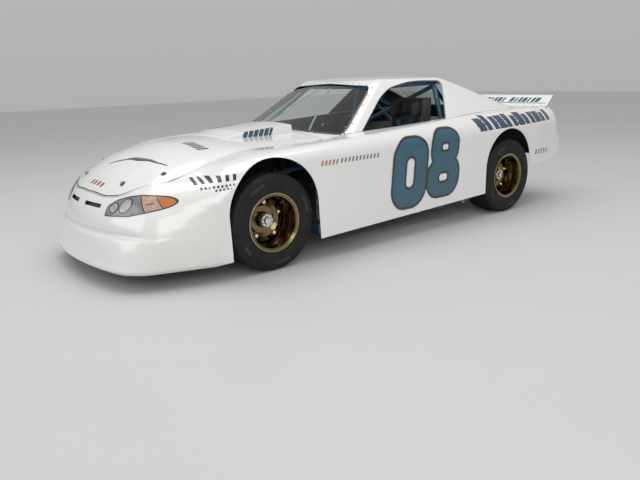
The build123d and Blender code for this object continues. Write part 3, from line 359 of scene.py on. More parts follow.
def outlineDistance(p, q, outline):
    # signed distance in a plane to a closed outline, positive inside
    outline = np.asarray(outline, float)
    ends = np.roll(outline, -1, axis=0)
    shape = np.shape(p)
    p, q = np.ravel(p), np.ravel(q)
    best = np.full(p.shape, 1e9)
    within = np.zeros(p.shape, bool)
    for (x0, y0), (x1, y1) in zip(outline, ends):
        dx, dy = x1 - x0, y1 - y0
        length = dx * dx + dy * dy
        if length < 1e-14:
            continue
        t = np.clip(((p - x0) * dx + (q - y0) * dy) / length, 0, 1)
        best = np.minimum(best, (p - x0 - t * dx) ** 2 + (q - y0 - t * dy) ** 2)
        crosses = (y0 > q) != (y1 > q)
        where = np.where(crosses, x0 + (q - y0) * dx / (dy if dy else 1e-12), 0)
        within ^= crosses & (p < where)
    best = np.sqrt(best)
    return np.where(within, best, -best).reshape(shape)


def strokeDistance(p, q, path, halfWidth):
    # positive inside a stroke of that half width drawn along a path
    best = np.full(np.shape(p), 1e9)
    for (x0, y0), (x1, y1) in zip(path[:-1], path[1:]):
        dx, dy = x1 - x0, y1 - y0
        t = np.clip(((p - x0) * dx + (q - y0) * dy) / max(dx * dx + dy * dy, 1e-12), 0, 1)
        best = np.minimum(best, np.hypot(p - x0 - t * dx, q - y0 - t * dy))
    return halfWidth - best


def roundCorners(corners, radius, steps=6):
    # closed outline with each corner replaced by a short curve
    made = []
    corners = [np.array(corner, float) for corner in corners]
    for before, here, after in zip(corners[-1:] + corners[:-1], corners, corners[1:] + corners[:1]):
        cut = min(radius, np.linalg.norm(before - here) / 2.2, np.linalg.norm(after - here) / 2.2)
        start = here + (before - here) / np.linalg.norm(before - here) * cut
        end = here + (after - here) / np.linalg.norm(after - here) * cut
        for t in np.linspace(0, 1, steps):
            made.append((1 - t) ** 2 * start + 2 * t * (1 - t) * here + t ** 2 * end)
    return np.array(made)


def easeCurve(x, knots, values):
    # smooth curve through a table that never overshoots it (monotone cubic)
    knots, values = np.asarray(knots, float), np.asarray(values, float)
    if knots[0] > knots[-1]:
        knots, values = knots[::-1], values[::-1]
    step = np.diff(knots)
    slope = np.diff(values) / step
    tangent = np.zeros(len(knots))
    same = slope[:-1] * slope[1:] > 0
    w1, w2 = 2 * step[1:] + step[:-1], step[1:] + 2 * step[:-1]
    safe = np.where(slope == 0, 1e-12, slope)
    tangent[1:-1] = np.where(same, (w1 + w2) / (w1 / safe[:-1] + w2 / safe[1:]), 0)
    tangent[0], tangent[-1] = slope[0], slope[-1]
    x = np.asarray(x, float)
    k = np.clip(np.searchsorted(knots, x) - 1, 0, len(step) - 1)
    t = (x - knots[k]) / step[k]
    h = step[k]
    return easedBend(t, values[k], h * tangent[k], values[k + 1], h * tangent[k + 1])


def softMin(first, second, blend):
    # the lower of two heights, rounded where they cross
    share = np.clip(0.5 + 0.5 * (second - first) / blend, 0, 1)
    return second + (first - second) * share - blend * share * (1 - share)


# Side of the body: x, half width, height where the shoulder starts, shoulder's inner end (y, z),
# inner edge of the top flange (y, z), from nose to tail
sideShape = {
    "stations": np.array([
        (0.440, 0.925, 0.500, 0.790, 0.670, 0.640, 0.722),
        (0.250, 0.950, 0.640, 0.862, 0.762, 0.640, 0.776),
        (0.000, 0.955, 0.715, 0.872, 0.812, 0.640, 0.824),
        (-0.560, 0.955, 0.735, 0.862, 0.842, 0.640, 0.830),
        (-0.860, 0.955, 0.735, 0.842, 0.858, 0.730, 0.869),
        (-1.400, 0.955, 0.735, 0.838, 0.886, 0.770, 0.894),
        (-2.060, 0.955, 0.740, 0.852, 0.914, 0.780, 0.924),
        (-2.667, 0.952, 0.760, 0.866, 0.926, 0.700, 0.942),
        (-3.066, 0.936, 0.770, 0.862, 0.924, 0.620, 0.948),
        (-3.440, 0.892, 0.770, 0.830, 0.906, 0.620, 0.936),
    ]),
    "sill": np.array([(0.440, 0.115), (0.336, 0.132), (-0.380, 0.165), (-2.290, 0.228), (-2.985, 0.400),
                      (-3.440, 0.428)]),
    "footZ": 0.06, "seams": (0.440, -0.560, -2.060, -3.440),
    "seamGap": 0.0001, "wall": 0.004, "cell": 0.011,
    "skinLift": -0.0016, "markLift": -0.0010, "markStep": 0.0005,
    "tuckFrom": 0.240,
    "tuck": np.array([(0.06, 0.060), (0.114, 0.045), (0.138, 0.026), (0.182, 0.017), (0.330, 0.005),
                      (0.412, 0.0)]),
}


def sideRow(x):
    stations = sideShape["stations"]
    return [easeCurve(x, stations[:, 0], stations[:, column]) for column in range(1, 7)]


def easedBend(t, first, firstWay, last, lastWay):
    # cubic from first to last that leaves and arrives with the given slopes
    return ((1 + 2 * t) * (1 - t) ** 2 * first + t * (1 - t) ** 2 * firstWay + t * t * (3 - 2 * t) * last
            + t * t * (t - 1) * lastWay)


def sideSection(x, p, lift=0.0):
    # point of the left side: p from 0 to 1 up the side, 1 to 2 round the shoulder, 2 to 3 along the flange
    halfY, turnZ, beltY, beltZ, edgeY, edgeZ = sideRow(x)
    rise, run = beltZ - turnZ, halfY - beltY
    radius = (rise * rise + run * run) / (2 * run)
    turn = np.where(run <= radius, np.arcsin(np.clip(rise / radius, -1, 1)),
                    np.pi - np.arcsin(np.clip(rise / radius, -1, 1)))
    angle = np.clip(p - 1, 0, 1) * turn
    y = halfY - radius + radius * np.cos(angle)
    z = turnZ + radius * np.sin(angle)
    t = np.clip(p - 2, 0, 1)
    reach = np.hypot(beltY - edgeY, beltZ - edgeZ)
    y = np.where(p > 2, easedBend(t, beltY, -np.sin(turn) * reach, edgeY, edgeY - beltY), y)
    z = np.where(p > 2, easedBend(t, beltZ, np.cos(turn) * reach, edgeZ, edgeZ - beltZ), z)
    low = np.clip(p, 0, 1)
    z = np.where(p < 1, sideShape["footZ"] + low * (turnZ - sideShape["footZ"]), z)
    # ahead of the wheel the foot is drawn in to meet the nose
    share = np.clip((x - sideShape["tuckFrom"]) / (sideShape["seams"][0] - sideShape["tuckFrom"]), 0, 1)
    tuck = sideShape["tuck"]
    y = y - np.interp(z, tuck[:, 0], tuck[:, 1]) * share * share * (3 - 2 * share)
    outY, outZ = np.cos(angle), np.sin(angle)
    if lift:
        y, z = y + lift * np.where(p > 2, 0.1, outY), z + lift * np.where(p > 2, 1.0, outZ)
    return y, z


def leftSide(x, p, lift=0.0):
    y, z = sideSection(x, p, lift)
    return np.stack([at(x), y, z], -1)


def sidePlaces():
    # steps up the section, close together round the shoulder
    return np.concatenate([np.linspace(0, 1, 64), np.linspace(1, 2, 19)[1:], np.linspace(2, 3, 19)[1:]])


def archOutline(centreX, centreZ, radius, frontFoot, rearFoot):
    # closed outline of a wheel opening in the side view, from its front foot over the top
    angles = np.linspace(0, pi, 61)
    over = np.stack([centreX + radius * np.cos(angles), centreZ + radius * np.sin(angles)], -1)
    return np.concatenate([[(frontFoot, 0.0)], over, [(rearFoot, 0.0)]])


arches = {"front": archOutline(-0.003, 0.427, 0.362, 0.336, -0.386),
          "rear": archOutline(-2.638, 0.436, 0.349, -2.285, -2.992)}


def sidePanelKeep(arch):
    sill = sideShape["sill"]

    def keep(points):
        x, _, z = fromAxle(points)
        room = z - np.interp(-x, -sill[:, 0], sill[:, 1])
        if arch is not None:
            room = np.minimum(room, -outlineDistance(x, z, arch))
        return room
    return keep


def makeSides():
    gap, cell = sideShape["seamGap"], sideShape["cell"]
    names = (("fender", "front"), ("door", None), ("quarter", "rear"))
    for (panel, arch), frontX, rearX in zip(names, sideShape["seams"][:-1], sideShape["seams"][1:]):
        alongX = np.linspace(frontX - gap, rearX + gap, int(abs(frontX - rearX) / cell) + 1)
        points, quads = trimmedSheet(lambda x, p: leftSide(x, p, sideShape["skinLift"]), alongX, sidePlaces(),
                                     sidePanelKeep(arch and arches[arch]), flip=True)
        for piece in bothSides(panel + "Skin", points, quads, "bodyWhite",
                               replaces=panel + "_{}"):
            thicken(piece, sideShape["wall"], inside="bodyInside")


makeSides()
print("stage: side panels")


# Hood: heights of its top line at the places along it, for each distance from the middle
hoodShape = {
    "places": np.array([-0.672, 0.0, 0.300, 0.560, 0.760, 0.985]),
    "across": np.array([0.0, 0.330, 0.560, 0.660]),
    "heights": np.array([(0.880, 0.878, 0.868, 0.818, 0.728, 0.518),
                         (0.866, 0.860, 0.840, 0.791, 0.696, 0.502),
                         (0.842, 0.836, 0.794, 0.722, 0.618, 0.468),
                         (0.828, 0.818, 0.765, 0.677, 0.571, 0.446)]),
    "edge": [(0.925, 0.0), (0.913, 0.220), (0.868, 0.390), (0.742, 0.540), (0.600, 0.628), (0.560, 0.635)],
    "gap": 0.005, "wall": 0.004, "middleX": 0.20, "edgeReach": 0.075,
    "channelDrop": 0.009,
}


def hoodHeight(x, y):
    # along the car each line is a smooth curve; across, a parabola-like crown through four lines
    lines = [easeCurve(x, hoodShape["places"], row) for row in hoodShape["heights"]]
    across = hoodShape["across"] ** 2
    share = np.asarray(y, float) ** 2
    height = lines[0]
    for k in range(3):
        t = np.clip((share - across[k]) / (across[k + 1] - across[k]), 0, 1 if k < 2 else 1.3)
        height = height + (lines[k + 1] - lines[k]) * t
    return height


def hoodOutline():
    # smooth plan of the hood, closed along its rear edge
    edge = np.array(hoodShape["edge"])
    y = np.linspace(0, edge[-1, 1], 40)
    x = easeCurve(y, edge[:, 1], edge[:, 0])
    left = np.stack([x, y], -1)
    return np.concatenate([left, [(hoodShape["places"][0], edge[-1, 1])],
                           [(hoodShape["places"][0], -edge[-1, 1])], (left * (1, -1))[::-1]])


# Nose and tail, row by row: height, end of the plan, radius of the end, corner radius, half width at the
# seam, and the side's slope
noseShape = {
    "seam": 0.440, "levels": np.array([
        (0.114, 1.072, 2.300, 0.290, 0.880, 0.33),
        (0.138, 1.094, 2.300, 0.300, 0.900, 0.33),
        (0.182, 1.082, 2.200, 0.300, 0.908, 0.33),
        (0.330, 1.052, 1.700, 0.290, 0.920, 0.33),
        (0.344, 1.040, 1.700, 0.280, 0.920, 0.34),
        (0.412, 1.026, 1.600, 0.265, 0.925, 0.42),
        (0.480, 1.002, 1.500, 0.250, 0.925, 0.52),
        (0.530, 0.972, 1.500, 0.245, 0.922, 0.64),
        (0.578, 0.932, 1.500, 0.240, 0.907, 0.74),
        (0.608, 0.902, 1.500, 0.240, 0.888, 0.80),
        (0.634, 0.870, 1.500, 0.240, 0.862, 0.85),
        (0.661, 0.830, 1.500, 0.230, 0.818, 0.91),
        (0.675, 0.808, 1.500, 0.225, 0.776, 0.94),
        (0.701, 0.760, 1.500, 0.210, 0.701, 0.95),
        (0.725, 0.715, 1.500, 0.200, 0.631, 0.95),
        (0.747, 0.668, 1.500, 0.190, 0.568, 0.95),
    ]), "slots": [(0.175, 0.128), (-0.175, 0.128)],
    # soft groove under the bumper: height, depth, half width
    "groove": (0.356, 0.012, 0.016), "slotLow": 0.503, "slotHigh": 0.527,
    "wall": 0.004,
}
tailShape = {
    "seam": -3.440, "levels": np.array([
        (0.424, -3.658, 7.000, 0.096, 0.884, 0.10),
        (0.434, -3.678, 7.000, 0.100, 0.889, 0.10),
        (0.452, -3.694, 7.000, 0.104, 0.892, 0.10),
        (0.500, -3.708, 7.000, 0.108, 0.892, 0.10),
        (0.560, -3.714, 7.000, 0.110, 0.892, 0.10),
        (0.596, -3.706, 7.000, 0.106, 0.892, 0.10),
        (0.624, -3.682, 7.000, 0.096, 0.892, 0.10),
        (0.650, -3.652, 7.000, 0.084, 0.892, 0.10),
        (0.684, -3.628, 7.000, 0.074, 0.892, 0.11),
        (0.770, -3.596, 7.000, 0.062, 0.892, 0.12),
        (0.840, -3.578, 7.000, 0.054, 0.877, 0.14),
        (0.890, -3.566, 7.000, 0.046, 0.846, 0.16),
        (0.928, -3.560, 7.000, 0.043, 0.804, 0.18),
    ]), "wall": 0.004,
}


def endOutline(shape, w, z):
    # plan of the nose or tail at each height: w runs from -1 at the left seam to 0 in the middle and 1 at the
    # right seam, along the slanted side, the round corner and the round end
    levels = shape["levels"]
    end, endRadius, corner, sideY, slope = (easeCurve(z, levels[:, 0], levels[:, c]) for c in range(1, 6))
    seam = shape["seam"]
    way = 1.0 if levels[0, 1] > seam else -1.0
    lean = np.sqrt(1 + slope ** 2)
    origin = end - way * endRadius
    offsetY = sideY - corner * lean
    reach = endRadius - corner
    run = way * (seam - origin)
    a, b = 1 + slope ** 2, -2 * slope * (offsetY + slope * run)
    c = (offsetY + slope * run) ** 2 - reach ** 2
    along = (-b + np.sqrt(np.maximum(b * b - 4 * a * c, 0))) / (2 * a)
    cornerY = offsetY + slope * (run - along)
    cornerX = origin + way * along
    joinAngle = np.arctan2(cornerY, along)
    footAngle = np.arctan2(1 / lean, slope / lean)
    half = np.abs(w)
    t = np.clip(half / 0.42, 0, 1)
    angle = joinAngle * t
    x, y = origin + way * endRadius * np.cos(angle), endRadius * np.sin(angle)
    t = np.clip((half - 0.42) / 0.30, 0, 1)
    angle = joinAngle + (footAngle - joinAngle) * t
    isCorner = half > 0.42
    x = np.where(isCorner, cornerX + way * corner * np.cos(angle), x)
    y = np.where(isCorner, cornerY + corner * np.sin(angle), y)
    t = np.clip((half - 0.72) / 0.28, 0, 1)
    footX, footY = cornerX + way * corner * slope / lean, cornerY + corner / lean
    isSide = half > 0.72
    x = np.where(isSide, footX + (seam - footX) * t, x)
    y = np.where(isSide, footY + (sideY - footY) * t, y)
    if "groove" in shape:
        height, deep, wide = shape["groove"]
        fade = (1 - np.clip((half - 0.40) / 0.34, 0, 1)) ** 2
        x = x - way * deep * np.exp(-((z - height) / wide) ** 2) * fade
    return x, np.where(w > 0, -y, y)


def endSheet(shape, lift=0.0):
    def surface(w, z):
        x, y = endOutline(shape, w, z)
        if lift:
            step = 1e-3
            xw, yw = endOutline(shape, w + step, z)
            xz, yz = endOutline(shape, w, z + step)
            normal = np.cross(np.stack([xz - x, yz - y, np.full_like(x, step)], -1),
                              np.stack([xw - x, yw - y, np.zeros_like(x)], -1))
            normal /= np.linalg.norm(normal, axis=-1, keepdims=True)
            sign = 1.0 if shape["levels"][0, 1] > shape["seam"] else -1.0
            return np.stack([at(x), y, z], -1) + sign * lift * normal
        return np.stack([at(x), y, z], -1)
    return surface


def noseKeep(points):
    x, y, z = fromAxle(points)
    room = -outlineDistance(x, y, hoodOutline()) - hoodShape["gap"]
    low, high = noseShape["slotLow"], noseShape["slotHigh"]
    middle, tall = (low + high) / 2, high - low
    for slotY, half in noseShape["slots"]:
        straight = half - tall / 2
        away = np.hypot(np.maximum(np.abs(y - slotY) - straight, 0), z - middle) - tall / 2
        room = np.minimum(room, np.where(x > 0.8, away, 1.0))
    return room


def levelPlaces(shape, top, cell):
    # heights for the grid: even steps, with every level of the table among them
    made = []
    knots = [z for z in shape["levels"][:, 0] if z < top - 1e-6] + [top]
    for low, high in zip(knots[:-1], knots[1:]):
        made.append(np.linspace(low, high, max(int((high - low) / cell), 2) + 1)[:-1])
    return np.concatenate(made + [[top]])


def makeNose():
    gap = sideShape["seamGap"]
    points, quads = trimmedSheet(endSheet(noseShape), np.linspace(-1, 1, 230),
                                 levelPlaces(noseShape, 0.747, 0.008), noseKeep)
    points[:, 0] = np.maximum(points[:, 0], at(noseShape["seam"]) + gap)
    piece = newPiece("noseSkin", points, quads, "noseWhite", "chassis", replaces=("nose",))
    thicken(piece, noseShape["wall"], inside="bodyInside")


makeNose()
print("stage: nose")


def edgeCorrection():
    # how far the hood's edge is from the nose and the fenders, by its bearing from a point inside the hood
    edge = hoodOutline()[:40]
    side = np.stack([np.linspace(edge[-1, 0], hoodShape["places"][0], 60)[1:], np.full(59, edge[-1, 1])], -1)
    edge = np.concatenate([edge, side])
    w, z = np.meshgrid(np.linspace(-1, 0, 500), np.linspace(0.46, noseShape["levels"][-1, 0], 400),
                       indexing="ij")
    noseX, noseY = endOutline(noseShape, w, z)
    around = []
    for x, y in edge:
        if x > noseShape["seam"]:
            around.append(z.ravel()[np.argmin(np.hypot(noseX - x, noseY - y))])
        else:
            flangeY, flangeZ = sideSection(np.full(120, x), np.linspace(2, 3, 120), sideShape["skinLift"])
            around.append(flangeZ[np.argmin(np.abs(flangeY - y - 0.005))])
    away = np.array(around) - hoodHeight(edge[:, 0], edge[:, 1])
    away = np.convolve(np.pad(away, 2, mode="edge"), np.full(5, 0.2), mode="valid")
    return np.arctan2(edge[:, 1], edge[:, 0] - hoodShape["middleX"]), away


hoodEdge = edgeCorrection()


def hoodSheet(x, y, lift=0.0):
    room = np.maximum(outlineDistance(x, y, hoodOutline()), 0)
    bearing = np.arctan2(np.abs(y), np.asarray(x, float) - hoodShape["middleX"])
    change = np.interp(bearing, *hoodEdge) * np.exp(-(room / hoodShape["edgeReach"]) ** 2)
    return np.stack([at(x), y, hoodHeight(x, y) + change + lift], -1)


def makeHood():
    outline = hoodOutline()
    points, quads = trimmedSheet(hoodSheet, np.linspace(0.93, -0.672, 132), np.linspace(-0.64, 0.64, 104),
                                 lambda p: np.minimum(outlineDistance(*fromAxle(p)[:2], outline), 0.02))
    piece = newPiece("hoodSkin", points, quads, "bodyWhite", "hood_panel", replaces=("hood",))
    thicken(piece, hoodShape["wall"], inside="bodyInside")


makeHood()


def makeHoodChannel():
    # painted shade: a black strip under the hood's edge, seen as the line of the seam, stands in for the
    # shadow in the gap
    outline = hoodOutline()
    loop = np.concatenate([outline[39:40], outline[:39][::-1], (outline[1:40] * (1, -1))])
    side = np.stack([np.linspace(hoodShape["places"][0], loop[0, 0], 40), np.full(40, loop[0, 1])], -1)
    loop = np.concatenate([side[:-1], loop, (side * (1, -1))[::-1][1:]])
    ahead = np.gradient(loop, axis=0)
    out = np.stack([-ahead[:, 1], ahead[:, 0]], -1) / np.linalg.norm(ahead, axis=1)[:, None]
    rows = []
    for reach in (-0.010, 0.012):
        here = loop + out * reach
        height = hoodSheet(loop[:, 0], loop[:, 1])[:, 2] - hoodShape["channelDrop"]
        rows.append(np.stack([at(here[:, 0]), here[:, 1], height], -1))
    piece = newPiece("hoodChannel", np.stack(rows), gridFaces(2, len(loop)), "satinBlack", "chassis")
    thicken(piece, 0.0015)


makeHoodChannel()
print("stage: hood")


# Tail cover closes the rear down to the bumper
def makeTail():
    gap = sideShape["seamGap"]
    points, quads = trimmedSheet(endSheet(tailShape), np.linspace(-1, 1, 156),
                                 levelPlaces(tailShape, 0.928, 0.011), lambda p: np.ones(p.shape[:-1]),
                                 flip=True)
    points[:, 0] = np.minimum(points[:, 0], at(tailShape["seam"]) - gap)
    piece = newPiece("tailSkin", points, quads, "noseWhite", "chassis",
                     replaces=("tail_cover",))
    thicken(piece, tailShape["wall"], inside="bodyInside")


makeTail()

# Deck lid: crowned across; heights of its middle and its sides at the front and rear edges
deckShape = {"frontX": -3.073, "rearX": -3.433, "half": 0.615, "wall": 0.004, "sideGap": 0.004,
             "frontZ": (0.958, 0.948), "rearZ": (0.944, 0.936)}


def deckHeight(x, y):
    # straight from front to rear, and falling with the square of y across
    t = (deckShape["frontX"] - x) / (deckShape["frontX"] - deckShape["rearX"])
    share = (np.abs(y) / deckShape["half"]) ** 2
    edges = (deckShape["frontZ"], deckShape["rearZ"])
    front, rear = (middle + (side - middle) * share for middle, side in edges)
    return front + (rear - front) * t


def makeDeck():
    half = deckShape["half"] - deckShape["sideGap"]
    x, y = np.meshgrid(np.linspace(deckShape["frontX"], deckShape["rearX"], 25), np.linspace(-half, half, 60),
                       indexing="ij")
    points = np.stack([at(x), y, deckHeight(x, y)], -1)
    piece = newPiece("deckSkin", points, gridFaces(25, 60), "bodyWhite", "deck_panel",
                     replaces=("deck_lid",))
    thicken(piece, deckShape["wall"], inside="bodyInside")


makeDeck()
print("stage: tail and deck")

# Cabin top: the lowest of a windshield cone, slanted sides, a sloping rear and a crowned roof,
# rounded where they cross. Heights in metres; share t is 0 at the low plan and 1 at the roof line.
cabinShape = {
    "lowZ": 0.800, "highZ": 1.242,
    "low": [(-0.590, 0.0), (-0.740, 0.771), (-1.950, 0.900), (-3.490, 0.730)],
    "high": [(-1.270, 0.0), (-1.348, 0.508), (-1.950, 0.556), (-2.225, 0.525)],
    "alongArc": (-1.760, 1.281, 3.052), "sideArc": (1.280, 5.60),
    "frontGlass": [(0.706, 0.864), (0.502, 1.212), (0.0, 1.236), (-0.502, 1.212), (-0.706, 0.864),
                   (0.0, 0.892)],
    "rearGlass": [(0.590, 0.962), (0.452, 1.204), (-0.452, 1.204), (-0.590, 0.962)],
    "sideWindow": [(-0.900, 0.811), (-1.299, 1.099), (-1.374, 1.142), (-1.463, 1.184), (-1.602, 1.212),
                   (-1.716, 1.228), (-1.850, 1.234), (-2.122, 1.226), (-1.852, 0.850)],
    "round": {"windshield": 0.035, "side": 0.055, "rear": 0.030},
    "wall": 0.004, "glass": 0.003,
}


def cabinPlan(corner, t):
    low, high = cabinShape["low"][corner], cabinShape["high"][corner]
    return low[0] + (high[0] - low[0]) * t, low[1] + (high[1] - low[1]) * t


def cabinHeight(x, y):
    y = np.abs(y)
    rise = cabinShape["highZ"] - cabinShape["lowZ"]
    t = np.full(np.shape(x), 0.5)
    for _ in range(12):
        cornerX, cornerY = cabinPlan(1, t)
        middleX = cabinPlan(0, t)[0]
        t = t + (middleX - (middleX - cornerX) * (y / cornerY) ** 2 - x) / 0.68 * 0.9
        t = np.clip(t, -1.2, 1.6)
    windshield = cabinShape["lowZ"] + rise * t
    t = np.full(np.shape(x), 0.5)
    for _ in range(14):
        (cornerX, cornerY), (postX, postY), (rearX, rearY) = (cabinPlan(k, t) for k in (1, 2, 3))
        ahead = cornerY + (postY - cornerY) * (cornerX - x) / (cornerX - postX)
        behind = postY + (rearY - postY) * (postX - x) / (postX - rearX)
        t = np.clip(t + (softMin(ahead, behind, 0.05) - y) / 0.30 * 0.85, -1.2, 1.6)
    side = cabinShape["lowZ"] + rise * t
    lowX, highX = cabinShape["low"][3][0], cabinShape["high"][3][0]
    rear = cabinShape["lowZ"] + rise * (x - lowX) / (highX - lowX)
    topX, topZ, along = cabinShape["alongArc"]
    crown = topZ - along + np.sqrt(along ** 2 - (x - topX) ** 2)
    middleZ, across = cabinShape["sideArc"]
    crown = np.minimum(crown, middleZ - across + np.sqrt(across ** 2 - y ** 2))
    roundings = cabinShape["round"]
    height = softMin(crown, windshield, roundings["windshield"])
    height = softMin(height, rear, roundings["rear"])
    return softMin(height, side, roundings["side"])


def heightSheet(height, lift=0.0, step=0.001):
    # surface over the plan, moved out by lift along its normal, which the slopes over a small step give
    def surface(x, y):
        z = height(x, y)
        if lift:
            slopeX, slopeY = (height(x + step, y) - z) / step, (height(x, y + step) - z) / step
            size = np.sqrt(1 + slopeX ** 2 + slopeY ** 2)
            return np.stack([at(x - lift * slopeX / size), y - lift * slopeY / size, z + lift / size], -1)
        return np.stack([at(x), y, z], -1)
    return surface


def cabinSheet(lift=0.0):
    return heightSheet(cabinHeight, lift, 0.002)


def bodyTop(x, y):
    # height of the panels that the cabin stands on: the sides' flanges, the deck lid and the cowl
    y = np.abs(y)
    halfY, turnZ, beltY, beltZ, edgeY, edgeZ = sideRow(np.clip(x, -3.44, 0.44))
    t = (beltY - y) / (beltY - edgeY)
    flange = beltZ + (edgeZ - beltZ) * np.clip(t, -1.5, 1)
    deck = deckHeight(x, y)
    cowlShare = np.clip((-0.680 - x) / 0.220, -0.5, 1.3)
    half = 0.640 + 0.095 * cowlShare
    middle, edge = 0.881 + 0.011 * cowlShare, 0.832 + 0.036 * cowlShare
    cowl = middle - (middle - edge) * (y / half) ** 2
    top = np.where(x < -3.05, np.maximum(deck, np.where(y > deckShape["half"], flange, 0)), flange)
    return np.where((x > -0.92) & (y < half), np.maximum(cowl, 0.0), top)


def overBody(points):
    # height over those panels, with a hair of room
    x, y, z = fromAxle(points)
    return z - bodyTop(x, y) - 0.0005


def windowKeeps(grow=0.0):
    # signed distances into the three kinds of window, each grown by the same margin
    front = roundCorners(cabinShape["frontGlass"], 0.045)
    rear = roundCorners(cabinShape["rearGlass"], 0.045)
    side = roundCorners(cabinShape["sideWindow"], 0.050)

    def keep(points):
        x, y, z = fromAxle(points)
        inFront = np.where(x > -1.5, outlineDistance(y, z, front), -1.0)
        inRear = np.where(x < -2.1, outlineDistance(y, z, rear), -1.0)
        inSide = outlineDistance(x, z, side)
        return inFront + grow, inRear + grow, inSide + grow
    return keep


def makeCabin():
    def roofKeep(points):
        front, rear, side = windowKeeps()(points)
        return np.minimum.reduce([overBody(points), -front, -rear, -side])

    points, quads = trimmedSheet(cabinSheet(), np.linspace(-0.60, -3.12, 190), np.linspace(-0.87, 0.87, 140),
                                 roofKeep)
    piece = newPiece("roofSkin", points, quads, "bodyWhite", "chassis", replaces=("roof",))
    thicken(piece, cabinShape["wall"], inside="bodyInside")
    glassRows = (("windshieldGlass", 0, np.linspace(-0.66, -1.24, 64), "windshield"),
                 ("rearGlass", 1, np.linspace(-2.28, -3.06, 64), "rear_window"))
    for name, which, glassX, node in glassRows:
        points, quads = trimmedSheet(cabinSheet(-0.0045), glassX, np.linspace(-0.72, 0.72, 80),
                                     lambda p: windowKeeps(0.016)(p)[which])
        piece = newPiece(name, points, quads, "windowClear", "chassis", replaces=(node,))
        thicken(piece, cabinShape["glass"])
        band, quads = trimmedSheet(cabinSheet(0.0006), glassX, np.linspace(-0.72, 0.72, 110),
                                   lambda p: np.minimum(windowKeeps(0.007)(p)[which],
                                                        -windowKeeps(0.0)(p)[which] + 0.004))
        trim = newPiece(name + ".edge", band, quads, "decalBlack", "chassis")
        thicken(trim, 0.0012)


makeCabin()
print("stage: cabin")


# Headlamps are stickers on the nose: dark border, grey bowl with cells, reddish middle and amber end.
# Outline in (y, z); share u = y + z parts the fields
lampShape = {
    "outline": [(0.366, 0.461), (0.453, 0.465), (0.579, 0.474), (0.682, 0.500), (0.745, 0.520),
                (0.775, 0.539), (0.783, 0.558), (0.778, 0.572), (0.756, 0.587), (0.726, 0.597),
                (0.672, 0.604), (0.600, 0.606), (0.512, 0.594), (0.422, 0.566), (0.365, 0.525)],
    "bowlU": 1.190, "middleU": 1.274, "border": 0.007,
    "bowls": [(0.432, 0.516, 0.040, 0.034), (0.522, 0.536, 0.048, 0.046)],
}


def lampLayer(name, lift, material, keep, replaces=""):
    points, quads = trimmedSheet(endSheet(noseShape, lift), np.linspace(-0.96, -0.18, 230),
                                 np.linspace(0.448, 0.616, 62), lambda p: keep(np.abs(p[..., 1]), p[..., 2]))
    bothSides(name, points, quads, material, replaces=replaces)


def makeLamps(shape):
    outline = roundCorners(shape["outline"], 0.012)

    def inside(y, z):
        return outlineDistance(y, z, outline)

    def between(low, high):
        return lambda y, z: np.minimum.reduce([inside(y, z) - shape["border"], (y + z - low) * 0.7,
                                               (high - y - z) * 0.7])

    def ring(y, z, grow):
        best = np.full(np.shape(y), -1.0)
        for midY, midZ, halfY, halfZ in shape["bowls"]:
            away = np.hypot((y - midY) / halfY, (z - midZ) / halfZ)
            best = np.maximum(best, (1 - away) * min(halfY, halfZ) + grow)
        return best

    gap = 0.004
    bowl = between(0.0, shape["bowlU"] - gap)
    lampLayer("lampBorder", 0.0012, "lampDark", inside, replaces="headlamps")
    lampLayer("lampBowl", 0.0018, "lampGrey", bowl)
    lampLayer("lampRing", 0.0024, "lampDark", lambda y, z: np.minimum(bowl(y, z), ring(y, z, 0.0)))
    lampLayer("lampCell", 0.0030, "lampSilver", lambda y, z: np.minimum(bowl(y, z), ring(y, z, -0.007)))
    lampLayer("lampMiddle", 0.0018, "lampPink", between(shape["bowlU"] + gap, shape["middleU"] - gap / 2))
    middle = between(shape["bowlU"] + 0.012, shape["middleU"] - 0.010)
    lampLayer("lampLine", 0.0024, "lampRed",
              lambda y, z: np.minimum(middle(y, z) - 0.006, 0.0035 - np.abs(z - 0.34 * y - 0.3245)))
    lampLayer("lampAmber", 0.0018, "lampAmber", between(shape["middleU"] + gap / 2, 9.0))


makeLamps(lampShape)


# Dark mesh plates behind the slots of the nose
def makeSlotPlates():
    low, high = noseShape["slotLow"] - 0.012, noseShape["slotHigh"] + 0.012
    for (slotY, half), side in zip(noseShape["slots"], ("left", "right")):
        points, quads = trimmedSheet(endSheet(noseShape, -0.022), np.linspace(-0.40, 0.40, 120),
                                     np.linspace(low, high, 9),
                                     lambda p: half + 0.012 - np.abs(p[..., 1] - slotY))
        newPiece("slotPlate." + side, points, quads, "satinBlack", "chassis")


makeSlotPlates()
print("stage: lamps")


# Makers of closed parts: each gives points and quads for joinParts
def ringPart(rings, capped=True):
    # closed outlines one after another, joined side to side; both ends are drawn together at their middle
    rings = np.asarray(rings, float)
    if capped:
        ends = [np.broadcast_to(ring.mean(axis=0), ring.shape)[None] for ring in (rings[0], rings[-1])]
        rings = np.concatenate([ends[0], rings, ends[1]])
    return rings.reshape(-1, 3), gridFaces(rings.shape[0], rings.shape[1], closeColumns=True)


